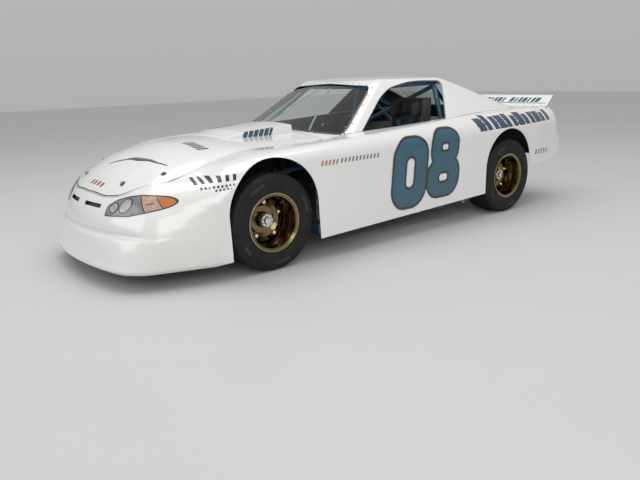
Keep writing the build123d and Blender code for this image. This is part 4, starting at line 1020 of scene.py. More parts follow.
def tubePart(path, radius, sides=12, closed=False):
    # round bar along a chain of points; radius may be one number or one for each point
    path = np.asarray(path, float)
    ahead = np.gradient(path, axis=0)
    if closed:
        ahead = np.roll(path, -1, axis=0) - np.roll(path, 1, axis=0)
    ahead /= np.linalg.norm(ahead, axis=1)[:, None]
    steady = np.eye(3)[np.argmin(np.abs(ahead).max(axis=0))]
    first = np.cross(ahead, steady)
    first /= np.linalg.norm(first, axis=1)[:, None]
    second = np.cross(ahead, first)
    turn = np.linspace(0, 2 * pi, sides, endpoint=False)
    reach = np.broadcast_to(np.asarray(radius, float), (len(path),))[:, None, None]
    rings = path[:, None] + reach * (np.cos(turn)[None, :, None] * first[:, None]
                                     + np.sin(turn)[None, :, None] * second[:, None])
    if closed:
        return rings.reshape(-1, 3), gridFaces(len(path), sides, closeRows=True, closeColumns=True)
    return ringPart(rings)


def strapPart(path, across, width, thick):
    # flat webbing along a chain of points; across is the way its width lies
    path, across = np.asarray(path, float), np.asarray(across, float)
    across = np.broadcast_to(across, path.shape)
    ahead = np.gradient(path, axis=0)
    face = np.cross(ahead, across)
    face /= np.linalg.norm(face, axis=1)[:, None]
    side = np.cross(face, ahead)
    side /= np.linalg.norm(side, axis=1)[:, None]
    half = [(0.5, -0.2), (0.5, 0.2), (0.46, 0.5), (-0.46, 0.5)]
    corners = half + [(-u, -v) for u, v in half]
    rings = np.stack([path + side * u * width + face * v * thick for u, v in corners], 1)
    return ringPart(rings)


def raised(flat, height):
    # an outline's points (u, v) at one height w
    return np.concatenate([flat, np.full((len(flat), 1), height)], 1)


def slabPart(outline, low, high, place, bevel=0.001):
    # plate of an outline (u, v), star-shaped about its middle, between two heights; place makes them points
    outline = np.asarray(outline, float)
    middle = outline.mean(axis=0)
    size = np.linalg.norm(outline - middle, axis=1).min()
    drawn = 1 - bevel / size
    rows = ((low, drawn), (low + bevel, 1.0), (high - bevel, 1.0), (high, drawn))
    return ringPart([place(raised(middle + (outline - middle) * share, height)) for height, share in rows])


def box(centre, size, bevel=0.004, turn=None):
    # box with soft edges and corners, its centre given from the front axle
    half = np.array(size) / 2
    corners = [(1, 1), (-1, 1), (-1, -1), (1, -1)]
    rounded = roundCorners([(half[0] * a, half[1] * b) for a, b in corners], bevel, 4)
    turn = np.eye(3) if turn is None else turn
    return slabPart(rounded, -half[2], half[2], lambda p: p @ turn.T + placedAt(centre),
                    min(bevel, half.min() * 0.8))


def discOutline(radius, steps=28):
    turn = np.linspace(0, 2 * pi, steps, endpoint=False)
    return np.stack([radius * np.cos(turn), radius * np.sin(turn)], -1)


def standingOn(point, normal, along=(1, 0, 0)):
    # place function: u and v lie on a surface at a point, w stands on it
    normal = np.asarray(normal, float) / np.linalg.norm(normal)
    first = np.asarray(along, float) - normal * np.dot(along, normal)
    first /= np.linalg.norm(first)
    second = np.cross(normal, first)
    return lambda p: np.array(point) + p[:, :1] * first + p[:, 1:2] * second + p[:, 2:] * normal


def standAt(point, normal=(0, 0, 1), along=(1, 0, 0)):
    # the same for a point given from the front axle
    return standingOn(placedAt(point), normal, along)


def onSheet(surface, x, y):
    # the same for a point of a surface, w standing up from it
    point, normal = surfaceNormal(surface, x, y)
    return standingOn(point, normal * np.sign(normal[2]))


def rectangle(left, right, low, high, radius=0.0, steps=6):
    corners = [(left, low), (right, low), (right, high), (left, high)]
    return roundCorners(corners, radius, steps) if radius else corners


def turnedOutline(outline, angle, shift=(0, 0)):
    # outline turned by an angle in degrees, then moved
    c, s = cos(radians(angle)), sin(radians(angle))
    return [(u * c - v * s + shift[0], u * s + v * c + shift[1]) for u, v in outline]


def disc(radius, low, high, place, bevel=0.001, steps=28, shift=(0, 0)):
    return slabPart(discOutline(radius, steps) + shift, low, high, place, bevel)


def ringBar(radius, height, thick, place, steps, sides, shift=(0, 0)):
    # round bar bent to a ring
    return tubePart(place(raised(discOutline(radius, steps) + shift, height)), thick, sides, closed=True)


def bar(points, radius, sides=12, steps=8):
    # round bar along a smooth curve through points given from the front axle
    return tubePart(smoothPath(placedAt(points), steps), radius, sides)


def strap(points, across, wide, thick, steps=8):
    return strapPart(smoothPath(placedAt(points), steps), across, wide, thick)


def joinParts(parts):
    points, faces, base = [], [], 0
    for some, quads in parts:
        points.append(np.asarray(some, float).reshape(-1, 3))
        faces.extend((facingOut(some, quads) + base).tolist())
        base += len(points[-1])
    return np.concatenate(points), faces


def partsPiece(name, parts, material, body="chassis", smoothAngle=40.0, replaces=()):
    points, faces = joinParts(parts)
    return newPiece(name, points, faces, material, body, smoothAngle, replaces)


def surfaceNormal(surface, a, b, small=1e-3):
    here = surface(np.array([a, a + small, a]), np.array([b, b, b + small]))
    normal = np.cross(here[1] - here[0], here[2] - here[0])
    return here[0], normal / np.linalg.norm(normal)


# Painted marks of the sides, in the side view: u runs from left to right as the viewer reads, v is the height
def roundBox(u, v, halfU, halfV, radius):
    du, dv = np.abs(u) - halfU + radius, np.abs(v) - halfV + radius
    return radius - np.hypot(np.maximum(du, 0), np.maximum(dv, 0)) - np.minimum(np.maximum(du, dv), 0)


def digitZero(u, v):
    return np.minimum(roundBox(u, v, 0.185, 0.270, 0.150), -roundBox(u, v, 0.062, 0.135, 0.060))


def digitEight(u, v):
    upper, lower = roundBox(u, v - 0.128, 0.158, 0.142, 0.120), roundBox(u, v + 0.118, 0.188, 0.152, 0.130)
    holes = np.maximum(roundBox(u, v - 0.130, 0.056, 0.044, 0.040),
                       roundBox(u, v + 0.120, 0.070, 0.050, 0.046))
    return np.minimum(np.maximum(upper, lower), -holes)


numberShape = {"first": (1.302, 0.533), "second": (1.712, 0.572), "slant": 0.10,
               "layers": [("Edge", "decalPale", 0.028, 0), ("Line", "decalBlack", 0.021, 1),
                          ("Fill", "decalTeal", 0.0, 2)]}


def numberKeep(u, z, grow):
    # the digits lean a little towards the end of the reading direction
    (firstU, firstZ), (secondU, secondZ) = numberShape["first"], numberShape["second"]
    lean = numberShape["slant"]
    first = digitZero(u - firstU - lean * (z - firstZ), z - firstZ)
    second = digitEight(u - secondU - lean * (z - secondZ), z - secondZ)
    return np.maximum(first, second) + grow


def sideMark(name, frontX, rearX, lowP, highP, keep, material, layer=0, cell=0.006):
    # keep(u, z) for both sides: on the right side the picture is turned round so that it reads the same way
    lift = sideShape["markLift"] + layer * sideShape["markStep"]
    steps = int(abs(frontX - rearX) / cell) + 1
    places = [p for p in sideFine if lowP <= p <= highP]
    for side, sign in (("left", 1), ("right", -1)):
        def inSide(points):
            x, _, z = fromAxle(points)
            return keep(-x if sign > 0 else x - frontX - rearX, z)

        points, quads = trimmedSheet(lambda x, p: leftSide(x, p, lift), np.linspace(frontX, rearX, steps),
                                     places, inSide, flip=True)
        if sign < 0:
            points, quads = mirrorPoints(points), quads[:, ::-1]
        newPiece(name + "." + side, points, quads, material, "chassis")


sideFine = np.concatenate([np.linspace(0, 1, 113), np.linspace(1, 2, 37)[1:], np.linspace(2, 3, 19)[1:]])
for part, material, grow, layer in numberShape["layers"]:
    sideMark("doorNumber" + part, -1.05, -1.99, 0.20, 1.9, lambda u, z, g=grow: numberKeep(u, z, g),
             material, layer)


def slantBars(u, v, pitch, width, slant, low, high, start, end):
    # a row of slanted bars between two heights, as a signed distance
    s = u - slant * (v - low)
    index = np.floor((s - start) / pitch)
    away = np.abs(s - start - (index + 0.5) * pitch)
    return np.minimum.reduce([width / 2 - away, v - low, high - v, s - start, end - s])


# Quarter band: slanted bars of uneven width and height between two lines that draw together towards the rear
def bandBars(u, z, grow):
    start, end, pitch, slant = 2.20, 3.36, 0.098, 0.55
    t = np.clip((u - 2.13) / 1.20, 0, 1)
    low, high = 0.792 + 0.030 * t, 0.918 - 0.006 * t
    s = u + slant * (z - low)
    index = np.floor((s - start) / pitch)
    wide = 0.030 + 0.008 * np.cos(index * 2.1)
    away = np.abs(s - start - (index + 0.5) * pitch)
    tall = 0.012 * np.cos(index * 3.7) + 0.012
    return np.minimum.reduce([wide - away, z - low, high - tall - z, s - start, end - s]) + grow


sideMark("quarterBandLine", -2.10, -3.42, 0.9, 2.4, lambda u, z: bandBars(u, z, 0.006), "decalBlack", 0)
sideMark("quarterBandFill", -2.10, -3.42, 0.9, 2.4, lambda u, z: bandBars(u, z, 0.0), "decalBlue", 1)
# Small marks behind the front wheel and low on the quarter
sideMark("smallMarkOrange", -0.36, -0.56, 0.8, 1.3,
         lambda u, z: slantBars(u, z, 0.034, 0.018, 0.3, 0.688, 0.724, 0.385, 0.560), "decalOrange", 0, 0.004)
sideMark("smallMarkBlue", -0.55, -0.98, 0.8, 1.4,
         lambda u, z: slantBars(u, z, 0.036, 0.017, 0.3, 0.693, 0.727, 0.565, 0.960), "decalGrey", 0, 0.004)
sideMark("lowMark", -3.02, -3.36, 0.6, 1.1,
         lambda u, z: slantBars(u, z, 0.052, 0.024, 0.3, 0.500, 0.548, 3.06, 3.34), "decalGrey", 0, 0.005)


# Three rows of plain bars ahead of the front wheel, over the seam of nose and fender
def fenderBars(points):
    x, _, z = fromAxle(points)
    v = z - 0.655 - 0.10 * (0.49 - x)
    rows = [(0.040, 0.019, 0.35, 0.0, 0.036, -0.520, -0.278),
            (0.022, 0.012, 0.35, -0.030, -0.018, -0.500, -0.296),
            (0.022, 0.012, 0.35, -0.050, -0.040, -0.430, -0.330)]
    return np.maximum.reduce([slantBars(-x, v, *row) for row in rows])


def makeFenderBars():
    seamX, gap = noseShape["seam"], 0.003
    points, quads = trimmedSheet(lambda x, p: leftSide(x, p, sideShape["markLift"]),
                                 np.linspace(seamX - gap, 0.245, 50), [p for p in sideFine if p > 0.6],
                                 fenderBars, flip=True)
    bothSides("fenderBars", points, quads, "decalBlack")
    points, quads = trimmedSheet(endSheet(noseShape, 0.0012), np.linspace(-0.998, -0.66, 120),
                                 np.linspace(0.59, 0.71, 40),
                                 lambda q: np.minimum(fenderBars(q), fromAxle(q)[0] - seamX - gap))
    bothSides("noseBars", points, quads, "decalBlack")


makeFenderBars()
print("stage: side marks")


# Marks of the hood: a long wave, a row of bars and a small red mark, all of them plain shapes
def hoodMark(name, xRange, yRange, keep, material, lift=0.0012, cell=0.004):
    alongX = np.linspace(*xRange, int(abs(xRange[0] - xRange[1]) / cell) + 1)
    alongY = np.linspace(*yRange, int(abs(yRange[0] - yRange[1]) / cell) + 1)
    points, quads = trimmedSheet(lambda x, y: hoodSheet(x, y, lift), alongX, alongY,
                                 lambda p: keep(*fromAxle(p)[:2]))
    newPiece(name, points, quads, material, "hood_panel")


waveLine = [(0.738, -0.070), (0.700, 0.010), (0.668, 0.090), (0.640, 0.160), (0.622, 0.240), (0.606, 0.300),
            (0.588, 0.370), (0.560, 0.440), (0.546, 0.480)]


def waveShare(y):
    # 0 at the wave's right end and 1 at its left end
    return np.clip((y - waveLine[0][1]) / 0.55, 0, 1)


def waveKeep(x, y):
    t = waveShare(y)
    thick = 0.0035 + 0.010 * np.sin(np.pi * t) ** 2 + 0.0045 * np.sin(15 * t) * np.sin(np.pi * t)
    return strokeDistance(x, y, waveLine, thick)


def waveInner(x, y):
    line = [(px - 0.012, py) for px, py in waveLine[2:8]]
    return strokeDistance(x, y, line, 0.009 * np.sin(np.pi * np.clip((waveShare(y) - 0.25) / 0.6, 0, 1)))


hoodMark("hoodWave", (0.78, 0.50), (-0.11, 0.52), waveKeep, "decalBlack")
hoodMark("hoodWaveInner", (0.72, 0.50), (0.03, 0.46), waveInner, "decalGrey", 0.0020)
hoodMark("hoodBars", (0.31, 0.16), (0.13, 0.47),
         lambda x, y: slantBars(y, -x, 0.052, 0.030, 0.5, -0.278, -0.206, 0.165, 0.425), "decalBlack")
hoodMark("hoodRed", (0.92, 0.80), (-0.12, 0.20),
         lambda x, y: np.minimum(slantBars(y, -x, 0.058, 0.030, 0.6, -0.888, -0.862, -0.075, 0.150),
                                 0.925 - x - 0.10 * y), "decalRed")
print("stage: hood marks")


# Turned pieces: profile rows (across, radius) are revolved about a line along y through a centre
def lathe(profile, centre, steps, sign=1, start=0.0):
    profile = np.asarray(profile, float)
    angles = start + np.linspace(0, 2 * pi, steps, endpoint=False)
    across, radius = profile[:, 0][:, None], profile[:, 1][:, None]
    x = centre[0] + radius * np.cos(angles)[None, :]
    z = centre[1] + radius * np.sin(angles)[None, :]
    y = np.broadcast_to(sign * across, x.shape)
    return np.stack([x, y, z], -1).reshape(-1, 3)


def smoothPath(points, steps):
    # smooth curve through a few points by their distance along the chain (Catmull-Rom)
    points = np.asarray(points, float)
    full = np.concatenate([[2 * points[0] - points[1]], points, [2 * points[-1] - points[-2]]])
    made = []
    for k in range(len(points) - 1):
        p0, p1, p2, p3 = full[k:k + 4]
        t = np.linspace(0, 1, steps, endpoint=False)[:, None]
        made.append(0.5 * (2 * p1 + (p2 - p0) * t + (2 * p0 - 5 * p1 + 4 * p2 - p3) * t ** 2
                           + (3 * p1 - p0 - 3 * p2 + p3) * t ** 3))
    return np.concatenate(made + [points[-1:]])


# Tyre: slick tread with rounded shoulders, a bulged wall with moulded rings, and its bead on the rim
tyreShape = {"inner": 0.645, "outer": 0.930, "radius": 0.342, "steps": 160,
             "wall": [(0.0165, 0.1935), (0.0150, 0.2060), (0.0120, 0.2120), (0.0085, 0.2150),
                      (0.0078, 0.2180), (0.0088, 0.2205), (0.0060, 0.2300), (0.0022, 0.2480),
                      (0.0003, 0.2680), (0.0012, 0.2860), (0.0030, 0.3000), (0.0028, 0.3025),
                      (0.0048, 0.3045), (0.0072, 0.3150), (0.0110, 0.3250), (0.0170, 0.3335),
                      (0.0260, 0.3395), (0.0370, 0.3418)],
             "grooves": [0.075, 0.1425, 0.210], "grooveHalf": 0.003, "grooveDeep": 0.003}


def tyreProfile(shape):
    wide = shape["outer"] - shape["inner"]
    wall = np.array(shape["wall"])
    outer = np.stack([shape["outer"] - wall[:, 0], wall[:, 1]], -1)
    inner = np.stack([shape["inner"] + wall[:, 0], wall[:, 1]], -1)[::-1]
    tread = []
    for groove in sorted(shape["grooves"], reverse=True):
        half, deep = shape["grooveHalf"], shape["grooveDeep"]
        for away, down in ((half + 0.001, 0), (half - 0.001, deep), (-half + 0.001, deep),
                           (-half - 0.001, 0)):
            tread.append((shape["inner"] + groove + away, shape["radius"] - down))
    crown = np.array(tread)
    crown[:, 1] -= 0.0008 * (np.abs(crown[:, 0] - shape["inner"] - wide / 2) / (wide / 2)) ** 2
    return np.concatenate([outer, crown, inner])


wheelSpots = [("front", "left", frontAxleX, 1, "wheel_fl"), ("front", "right", frontAxleX, -1, "wheel_fr"),
              ("rear", "left", rearAxleX, 1, "wheel_rl"), ("rear", "right", rearAxleX, -1, "wheel_rr")]


def aroundAxle(spot, radius, angle):
    return spot[2] + radius * cos(angle), axleZ + radius * sin(angle)


def turned(name, profile, spot, steps, material, smoothAngle=40.0, closed=False, replaces=(),
           centre=None):
    end, side, axleX, sign, body = spot
    profile = np.asarray(profile, float)
    points = lathe(profile, centre or (axleX, axleZ), steps, sign)
    faces = facingOut(points, gridFaces(len(profile), steps, closeRows=closed, closeColumns=True))
    return newPiece(name + "." + end + "." + side, points, faces, material, body, smoothAngle, replaces)


def ringMarks(spot, name, radius, halfTall, across, spans, material):
    # short pale bars laid round the outer wall, each a small curved patch
    end, side, axleX, sign, body = spot
    points, faces = [], []
    for middle, half in spans:
        angles = np.linspace(middle - half, middle + half, 5)
        for r, y in ((radius - halfTall, across[0]), (radius + halfTall, across[1])):
            for angle in angles:
                points.append((axleX + r * cos(angle), sign * y, axleZ + r * sin(angle)))
        base = len(points) - 10
        for k in range(4):
            face = (base + k, base + k + 1, base + k + 6, base + k + 5)
            faces.append(face if sign > 0 else face[::-1])
    newPiece(name + "." + end + "." + side, points, faces, material, body)


def hexPrism(centre, radius, lowY, highY, sign, turn=0.0, bevel=0.0015):
    # nut with a bevelled end, about a line along y
    rows = [(lowY, radius), (highY - bevel, radius), (highY, radius - bevel), (highY, 0.0)]
    points = lathe(rows, centre, 6, sign, turn)
    return points, gridFaces(len(rows), 6, closeColumns=True)


# Wheel: a deep gold rim with a rolled lip, ten vents, polished nuts, hub cap and valve
wheelShape = {"faceY": 0.753, "nutCircle": 0.128, "nutCount": 5, "nutRadius": 0.0155, "nutStart": radians(18),
              "lip": [(0.9115, 0.1995), (0.9125, 0.2045), (0.9160, 0.2075), (0.9205, 0.2078),
                      (0.9228, 0.2052), (0.9225, 0.2008), (0.9180, 0.1975), (0.9130, 0.1968)]}


def makeWheel(spot):
    end, side, axleX, sign, body = spot
    turned("tyreRubber", tyreProfile(tyreShape), spot, tyreShape["steps"], "rubber", 32.0,
           replaces=("tyre_" + end + "_" + side,))
    spans = [(a + k * 0.062, 0.021) for a in (0.9, 2.62, 4.35, 5.6) for k in range(7 if a < 5 else 4)]
    ringMarks(spot, "tyreMarks", 0.281, 0.0105, (0.9298, 0.9296), spans, "rubberMark")
    turned("rimLip", wheelShape["lip"], spot, 96, "wheelLip", 60.0, closed=True)
    nuts = []
    for k in range(wheelShape["nutCount"]):
        angle = wheelShape["nutStart"] + 2 * pi * k / wheelShape["nutCount"]
        centre = aroundAxle(spot, wheelShape["nutCircle"], angle)
        nuts.append(hexPrism(centre, wheelShape["nutRadius"], 0.770, 0.7985, sign, angle))
        studEnd = [(0.7985, 0.0085), (0.8060, 0.0085), (0.8072, 0.0070), (0.8072, 0.0)]
        nuts.append((lathe(studEnd, centre, 14, sign), gridFaces(4, 14, closeColumns=True)))
    points, faces = joinParts(nuts)
    newPiece("lugNuts." + end + "." + side, points, faces, "polished", body, 30.0)
    cap = [(0.800, 0.0525), (0.822, 0.0500), (0.8285, 0.0455), (0.8290, 0.0300), (0.8350, 0.0265),
           (0.8420, 0.0240), (0.8440, 0.0200), (0.8440, 0.0)]
    turned("hubCap", cap, spot, 40, "polished", 30.0)
    bolts = []
    for k in range(8):
        angle = 2 * pi * (k + 0.5) / 8
        bolts.append(hexPrism(aroundAxle(spot, 0.0385, angle), 0.0058, 0.8275, 0.8345, sign, angle, 0.0008))
    points, faces = joinParts(bolts)
    newPiece("capBolts." + end + "." + side, points, faces, "plainSteel", body, 30.0)
    valve = [(0.858, 0.0052), (0.884, 0.0052), (0.885, 0.0068), (0.899, 0.0064), (0.900, 0.0)]
    turned("valve", valve, spot, 12, "gripBlack", 30.0, centre=aroundAxle(spot, 0.168, 1.9))


for spot in wheelSpots:
    makeWheel(spot)
print("stage: wheels and tyres")

# Outside fittings: hood pins, scoop, spoiler, screws of the glass, window edging and brake discs
pinShape = {"places": [(0.812, 0.348), (0.604, 0.543)], "plate": 0.021, "plateFlat": 0.80, "pin": 0.0048,
            "tall": 0.019, "clip": 0.0085, "clipOff": 0.0055, "clipUp": 0.0105, "clipWire": 0.0011}


def makeHoodPins(shape):
    plates, pins, clips = [], [], []
    for x, y in shape["places"]:
        for side in (1, -1):
            place = onSheet(hoodSheet, x, side * y)
            plate = discOutline(shape["plate"]) * (1.0, shape["plateFlat"])
            plates.append(slabPart(plate, 0.0002, 0.0022, place, 0.0007))
            pins.append(disc(shape["pin"], 0.0, shape["tall"], place, 0.0015, 16))
            clips.append(ringBar(shape["clip"], shape["clipUp"], shape["clipWire"], place, 20, 6,
                                 (0.0, shape["clipOff"])))
    partsPiece("hoodPinPlates", plates, "darkSheet", "hood_panel")
    partsPiece("hoodPins", pins, "plainSteel", "hood_panel")
    partsPiece("hoodPinClips", clips, "burntSteel", "hood_panel")


makeHoodPins(pinShape)

# Scoop: low in front, open to the rear; widths and heights are those of its solid
scoopShape = {"x": [-0.632, -0.180, -0.020], "half": [0.300, 0.285, 0.250], "top": [0.946, 0.918, 0.883],
              "drop": 0.014, "edge": 0.012, "steep": 8.0, "frontSteep": 0.8, "round": 0.012,
              "frontRound": 0.010, "wall": 0.004, "screenX": -0.612, "screen": (-0.272, 0.272, 0.870, 0.924),
              "bars": {"pitch": 0.046, "width": 0.028, "slant": 0.5, "low": 0.868, "high": 0.922,
                       "start": 0.175, "end": 0.430}}


def scoopHeight(x, y):
    # a crown that drops with the square of y, with steep sides and a sloping front, rounded where they cross
    half, top = (np.interp(x, scoopShape["x"], scoopShape[key]) for key in ("half", "top"))
    crown = top - scoopShape["drop"] * (np.abs(y) / half) ** 2
    edge = top - scoopShape["drop"] + (half - scoopShape["edge"] - np.abs(y)) * scoopShape["steep"]
    front = hoodHeight(x, y) + (scoopShape["x"][-1] - x) * scoopShape["frontSteep"]
    return softMin(softMin(crown, edge, scoopShape["round"]), front, scoopShape["frontRound"])


def makeScoop():
    edge = np.linspace(0.236, 0.304, 40)
    alongY = np.concatenate([-edge[::-1], np.linspace(-0.23, 0.23, 50), edge])

    def standing(points):
        x, y, z = fromAxle(points)
        return z - hoodHeight(x, y) - 0.0004

    points, quads = trimmedSheet(heightSheet(scoopHeight), np.linspace(-0.020, -0.632, 90), alongY, standing)
    piece = newPiece("scoopSkin", points, quads, "bodyWhite", "hood_panel", replaces=("scoop",))
    thicken(piece, scoopShape["wall"], inside="bodyInside")
    screen = slabPart(rectangle(*scoopShape["screen"], 0.02, 6), -0.003, 0,
                      lambda p: np.stack([at(scoopShape["screenX"]) + p[:, 2], p[:, 0], p[:, 1]], -1))
    partsPiece("scoopScreen", [screen], "satinBlack", "hood_panel")
    # slanted bars on both sides of the scoop
    for name, grow, material, lift in (("scoopBand", 0.004, "decalBlack", 0.0010),
                                       ("scoopBars", 0.0, "decalTeal", 0.0018)):
        def keep(points):
            x, _, z = fromAxle(points)
            return slantBars(-x, z, **scoopShape["bars"]) + grow

        points, quads = trimmedSheet(heightSheet(scoopHeight, lift), np.linspace(-0.15, -0.46, 90),
                                     np.linspace(0.262, 0.3035, 70), keep)
        bothSides(name, points, quads, material, "hood_panel")


makeScoop()

tailLipShape = {"z": 0.9285, "thick": 0.0020, "frontX": -3.4370, "inset": 0.004, "narrow": 0.995,
                "coverZ": 0.928}


def makeTailLip(shape):
    # flat lip from the deck's rear edge to the tail cover's top edge, under the spoiler's foot
    x, y = endOutline(tailShape, np.linspace(-0.93, 0.93, 80), np.full(80, shape["coverZ"]))
    behind = x < shape["frontX"] - shape["inset"]
    x, y = x[behind] + shape["inset"], y[behind] * shape["narrow"]
    outline = [(shape["frontX"], y[0]), *zip(x, y), (shape["frontX"], y[-1])]
    partsPiece("tailLip", [slabPart(outline, shape["z"], shape["z"] + shape["thick"], placedAt, 0.0003)],
               "bodyWhite")


makeTailLip(tailLipShape)

# Spoiler: plain bars on the front face, an edge roll, braces behind and screws along the foot
spoilerShape = {"foot": (-3.530, 0.935), "top": (-3.640, 1.042), "half": 0.745,
                "bars": 24, "firstBar": -0.60, "pitch": 0.052, "leftOut": (7, 8, 16),
                "widths": (0.011, 0.006), "barLow": 0.050, "barHigh": 0.112, "slant": 0.022,
                "line": (-0.72, 0.72, 0.034, 0.040),
                "roll": 0.0030, "rollOff": (0.0012, -0.0032), "braceY": (-0.42, -0.14, 0.14, 0.42),
                "brace": 0.0045, "braceTop": (-3.612, 1.005), "braceFoot": (-3.594, 0.800), "screwX": -3.508}


def makeSpoiler(shape):
    (footX, footZ), (topX, topZ) = shape["foot"], shape["top"]
    foot, top = placedAt((footX, 0, footZ)), placedAt((topX, 0, topZ))
    up = (top - foot) / np.linalg.norm(top - foot)
    normal = np.array([up[2], 0, -up[0]])
    place = standingOn(foot, normal, (0, 1, 0))
    bars, high, lean = [], shape["barHigh"], shape["slant"]
    for k in range(shape["bars"]):
        if k in shape["leftOut"]:
            continue
        wide = shape["widths"][0] + shape["widths"][1] * (k % 3)
        left, right = (shape["firstBar"] + shape["pitch"] * k + way * wide for way in (-1, 1))
        bars.append(slabPart([(left, shape["barLow"]), (right, shape["barLow"]), (right + lean, high),
                              (left + lean, high)], 0.0003, 0.0010, place, 0.0002))
    partsPiece("spoilerBars", bars, "decalTeal")
    partsPiece("spoilerLine", [slabPart(rectangle(*shape["line"]), 0.0003, 0.0009, place, 0.0002)],
               "decalBlack")
    end = shape["half"] - 0.004
    roll = [(topX + shape["rollOff"][0], y, topZ + shape["rollOff"][1]) for y in np.linspace(-end, end, 30)]
    partsPiece("spoilerRoll", [tubePart(placedAt(roll), shape["roll"], 10)], "decalPale")
    braces, screws = [], []
    for y in shape["braceY"]:
        high, low = (np.insert(shape[key], 1, y) for key in ("braceTop", "braceFoot"))
        middle = high * 0.45 + low * 0.55 + (-0.004, 0, 0)
        braces.append(bar([high, middle, low], shape["brace"], 8, 5))
        screws.append(disc(0.008, -0.0005, 0.003, standAt(high + (0.0035, 0, 0.0015), normal), 0.001, 12))
    partsPiece("spoilerBraces", braces, "plainSteel")
    for y in np.linspace(-0.70, 0.70, 15):
        screws.append(disc(0.0065, 0.0, 0.0026, standAt((shape["screwX"], y, footZ)), 0.001, 10))
    partsPiece("spoilerScrews", screws, "plainSteel")


makeSpoiler(spoilerShape)

# Screws round the windshield and the rear glass: outline, room to it, pitch, where along the car to look
glassScrews = {"rims": [("frontGlass", 0.014, 0.075, (-0.62, -1.32)),
                        ("rearGlass", 0.016, 0.11, (-2.2, -3.1))],
               "radius": 0.0058, "missed": 0.006, "room": 0.008}


def cabinX(y, z, span, steps):
    # where along the car the cabin's skin is nearest to a height z at y
    tryX = np.linspace(*span, steps)
    return tryX[np.argmin(np.abs(cabinHeight(tryX, np.full(steps, y)) - z))]


def makeGlassScrews(shape):
    screws = []
    for key, out, pitch, span in shape["rims"]:
        corners = np.array(roundCorners(cabinShape[key], 0.045))
        away = corners - corners.mean(axis=0)
        corners = corners + away / np.linalg.norm(away, axis=1)[:, None] * out
        loop = np.concatenate([corners, corners[:1]])
        run = np.concatenate([[0], np.cumsum(np.linalg.norm(np.diff(loop, axis=0), axis=1))])
        for along in np.arange(0.03, run[-1], pitch):
            y, z = np.interp(along, run, loop[:, 0]), np.interp(along, run, loop[:, 1])
            x = cabinX(y, z, span, 400)
            here, ledge = (height(np.array([x]), np.array([y]))[0] for height in (cabinHeight, bodyTop))
            if abs(here - z) > shape["missed"] or z < ledge + shape["room"]:
                continue
            screws.append(disc(shape["radius"], -0.0005, 0.0022, onSheet(cabinSheet(), x, y), 0.0009, 10))
    partsPiece("glassScrews", screws, "satinBlack")


def makeWindowRims():
    # dark edging round the side windows
    def rim(points):
        side = windowKeeps()(points)[2]
        return np.minimum.reduce([side + 0.006, 0.0006 - side, overBody(points)])

    points, quads = trimmedSheet(cabinSheet(0.0008), np.linspace(-0.86, -2.18, 240),
                                 np.linspace(0.50, 0.87, 120), rim)
    bothSides("windowRim", points, quads, "satinBlack")


makeGlassScrews(glassScrews)
makeWindowRims()

# Steel faces over the brake discs: profile (across, radius)
rotorProfile = [(0.7036, 0.066), (0.7036, 0.1496), (0.7046, 0.1506), (0.7294, 0.1506), (0.7304, 0.1496),
                (0.7304, 0.066)]
for wheel in wheelSpots:
    turned("rotorFace", rotorProfile, wheel, 64, "plainSteel", 30.0, closed=True)
print("stage: outside fittings")

# Cabin: steering wheel, seat pads, belts, dials, lever, pedals and braces behind the windshield
columnFoot, columnTop = placedAt((-0.700, 0.365, 0.640)), placedAt((-1.245, 0.365, 0.790))
columnWay = (columnTop - columnFoot) / np.linalg.norm(columnTop - columnFoot)
handWheel = {"radius": 0.178, "grip": 0.0135, "knurl": 0.0012, "gripUp": 0.010, "spokes": (-90, 30, 150),
             "spoke": [(0.020, -0.017), (0.080, -0.013), (0.168, -0.016), (0.168, 0.016), (0.080, 0.013),
                       (0.020, 0.017)],
             "holes": [(0.070, 0.0072), (0.096, 0.0072), (0.122, 0.0062)],
             "pad": [(-0.034, -0.028), (0.034, -0.028), (0.040, 0.026), (-0.040, 0.026)]}


def makeSteeringWheel(shape):
    # u to the driver's left, v up the wheel, w towards the driver
    up = np.cross(columnWay, (0, 1.0, 0))
    up = up * np.sign(up[2])

    def place(p):
        return columnTop + 0.003 * columnWay + p[:, :1] * (0, 1.0, 0) + p[:, 1:2] * up + p[:, 2:] * columnWay

    turn = np.linspace(0, 2 * pi, 96, endpoint=False)
    thick = shape["grip"] - shape["knurl"] * np.cos(turn * 12) ** 8
    partsPiece("wheelGrip", [ringBar(shape["radius"], shape["gripUp"], thick, place, 96, 14)], "gripBlack",
               "hand_wheel", replaces=("steering_wheel",))
    spokes, holes = [], []
    for angle in shape["spokes"]:
        outline = roundCorners(turnedOutline(shape["spoke"], angle), 0.004, 3)
        spokes.append(slabPart(outline, 0.008, 0.012, place, 0.0008))
        for reach, radius in shape["holes"]:
            holes.append(disc(radius, 0.0115, 0.0125, place, 0.0003, 16,
                              turnedOutline([(reach, 0)], angle)[0]))
    spokes.append(disc(0.034, 0.004, 0.014, place, 0.001, 36))
    partsPiece("wheelSpokes", spokes, "polished", "hand_wheel")
    partsPiece("wheelHoles", holes, "satinBlack", "hand_wheel")
    hub = [disc(0.024, -0.030, 0.006, place, 0.002, 32), disc(0.030, -0.022, -0.012, place, 0.002, 32)]
    partsPiece("wheelRelease", hub, "plainSteel", "hand_wheel")
    partsPiece("wheelPad", [slabPart(roundCorners(shape["pad"], 0.014, 5), 0.013, 0.030, place, 0.006)],
               "seatCover", "hand_wheel", 60.0)


makeSteeringWheel(handWheel)
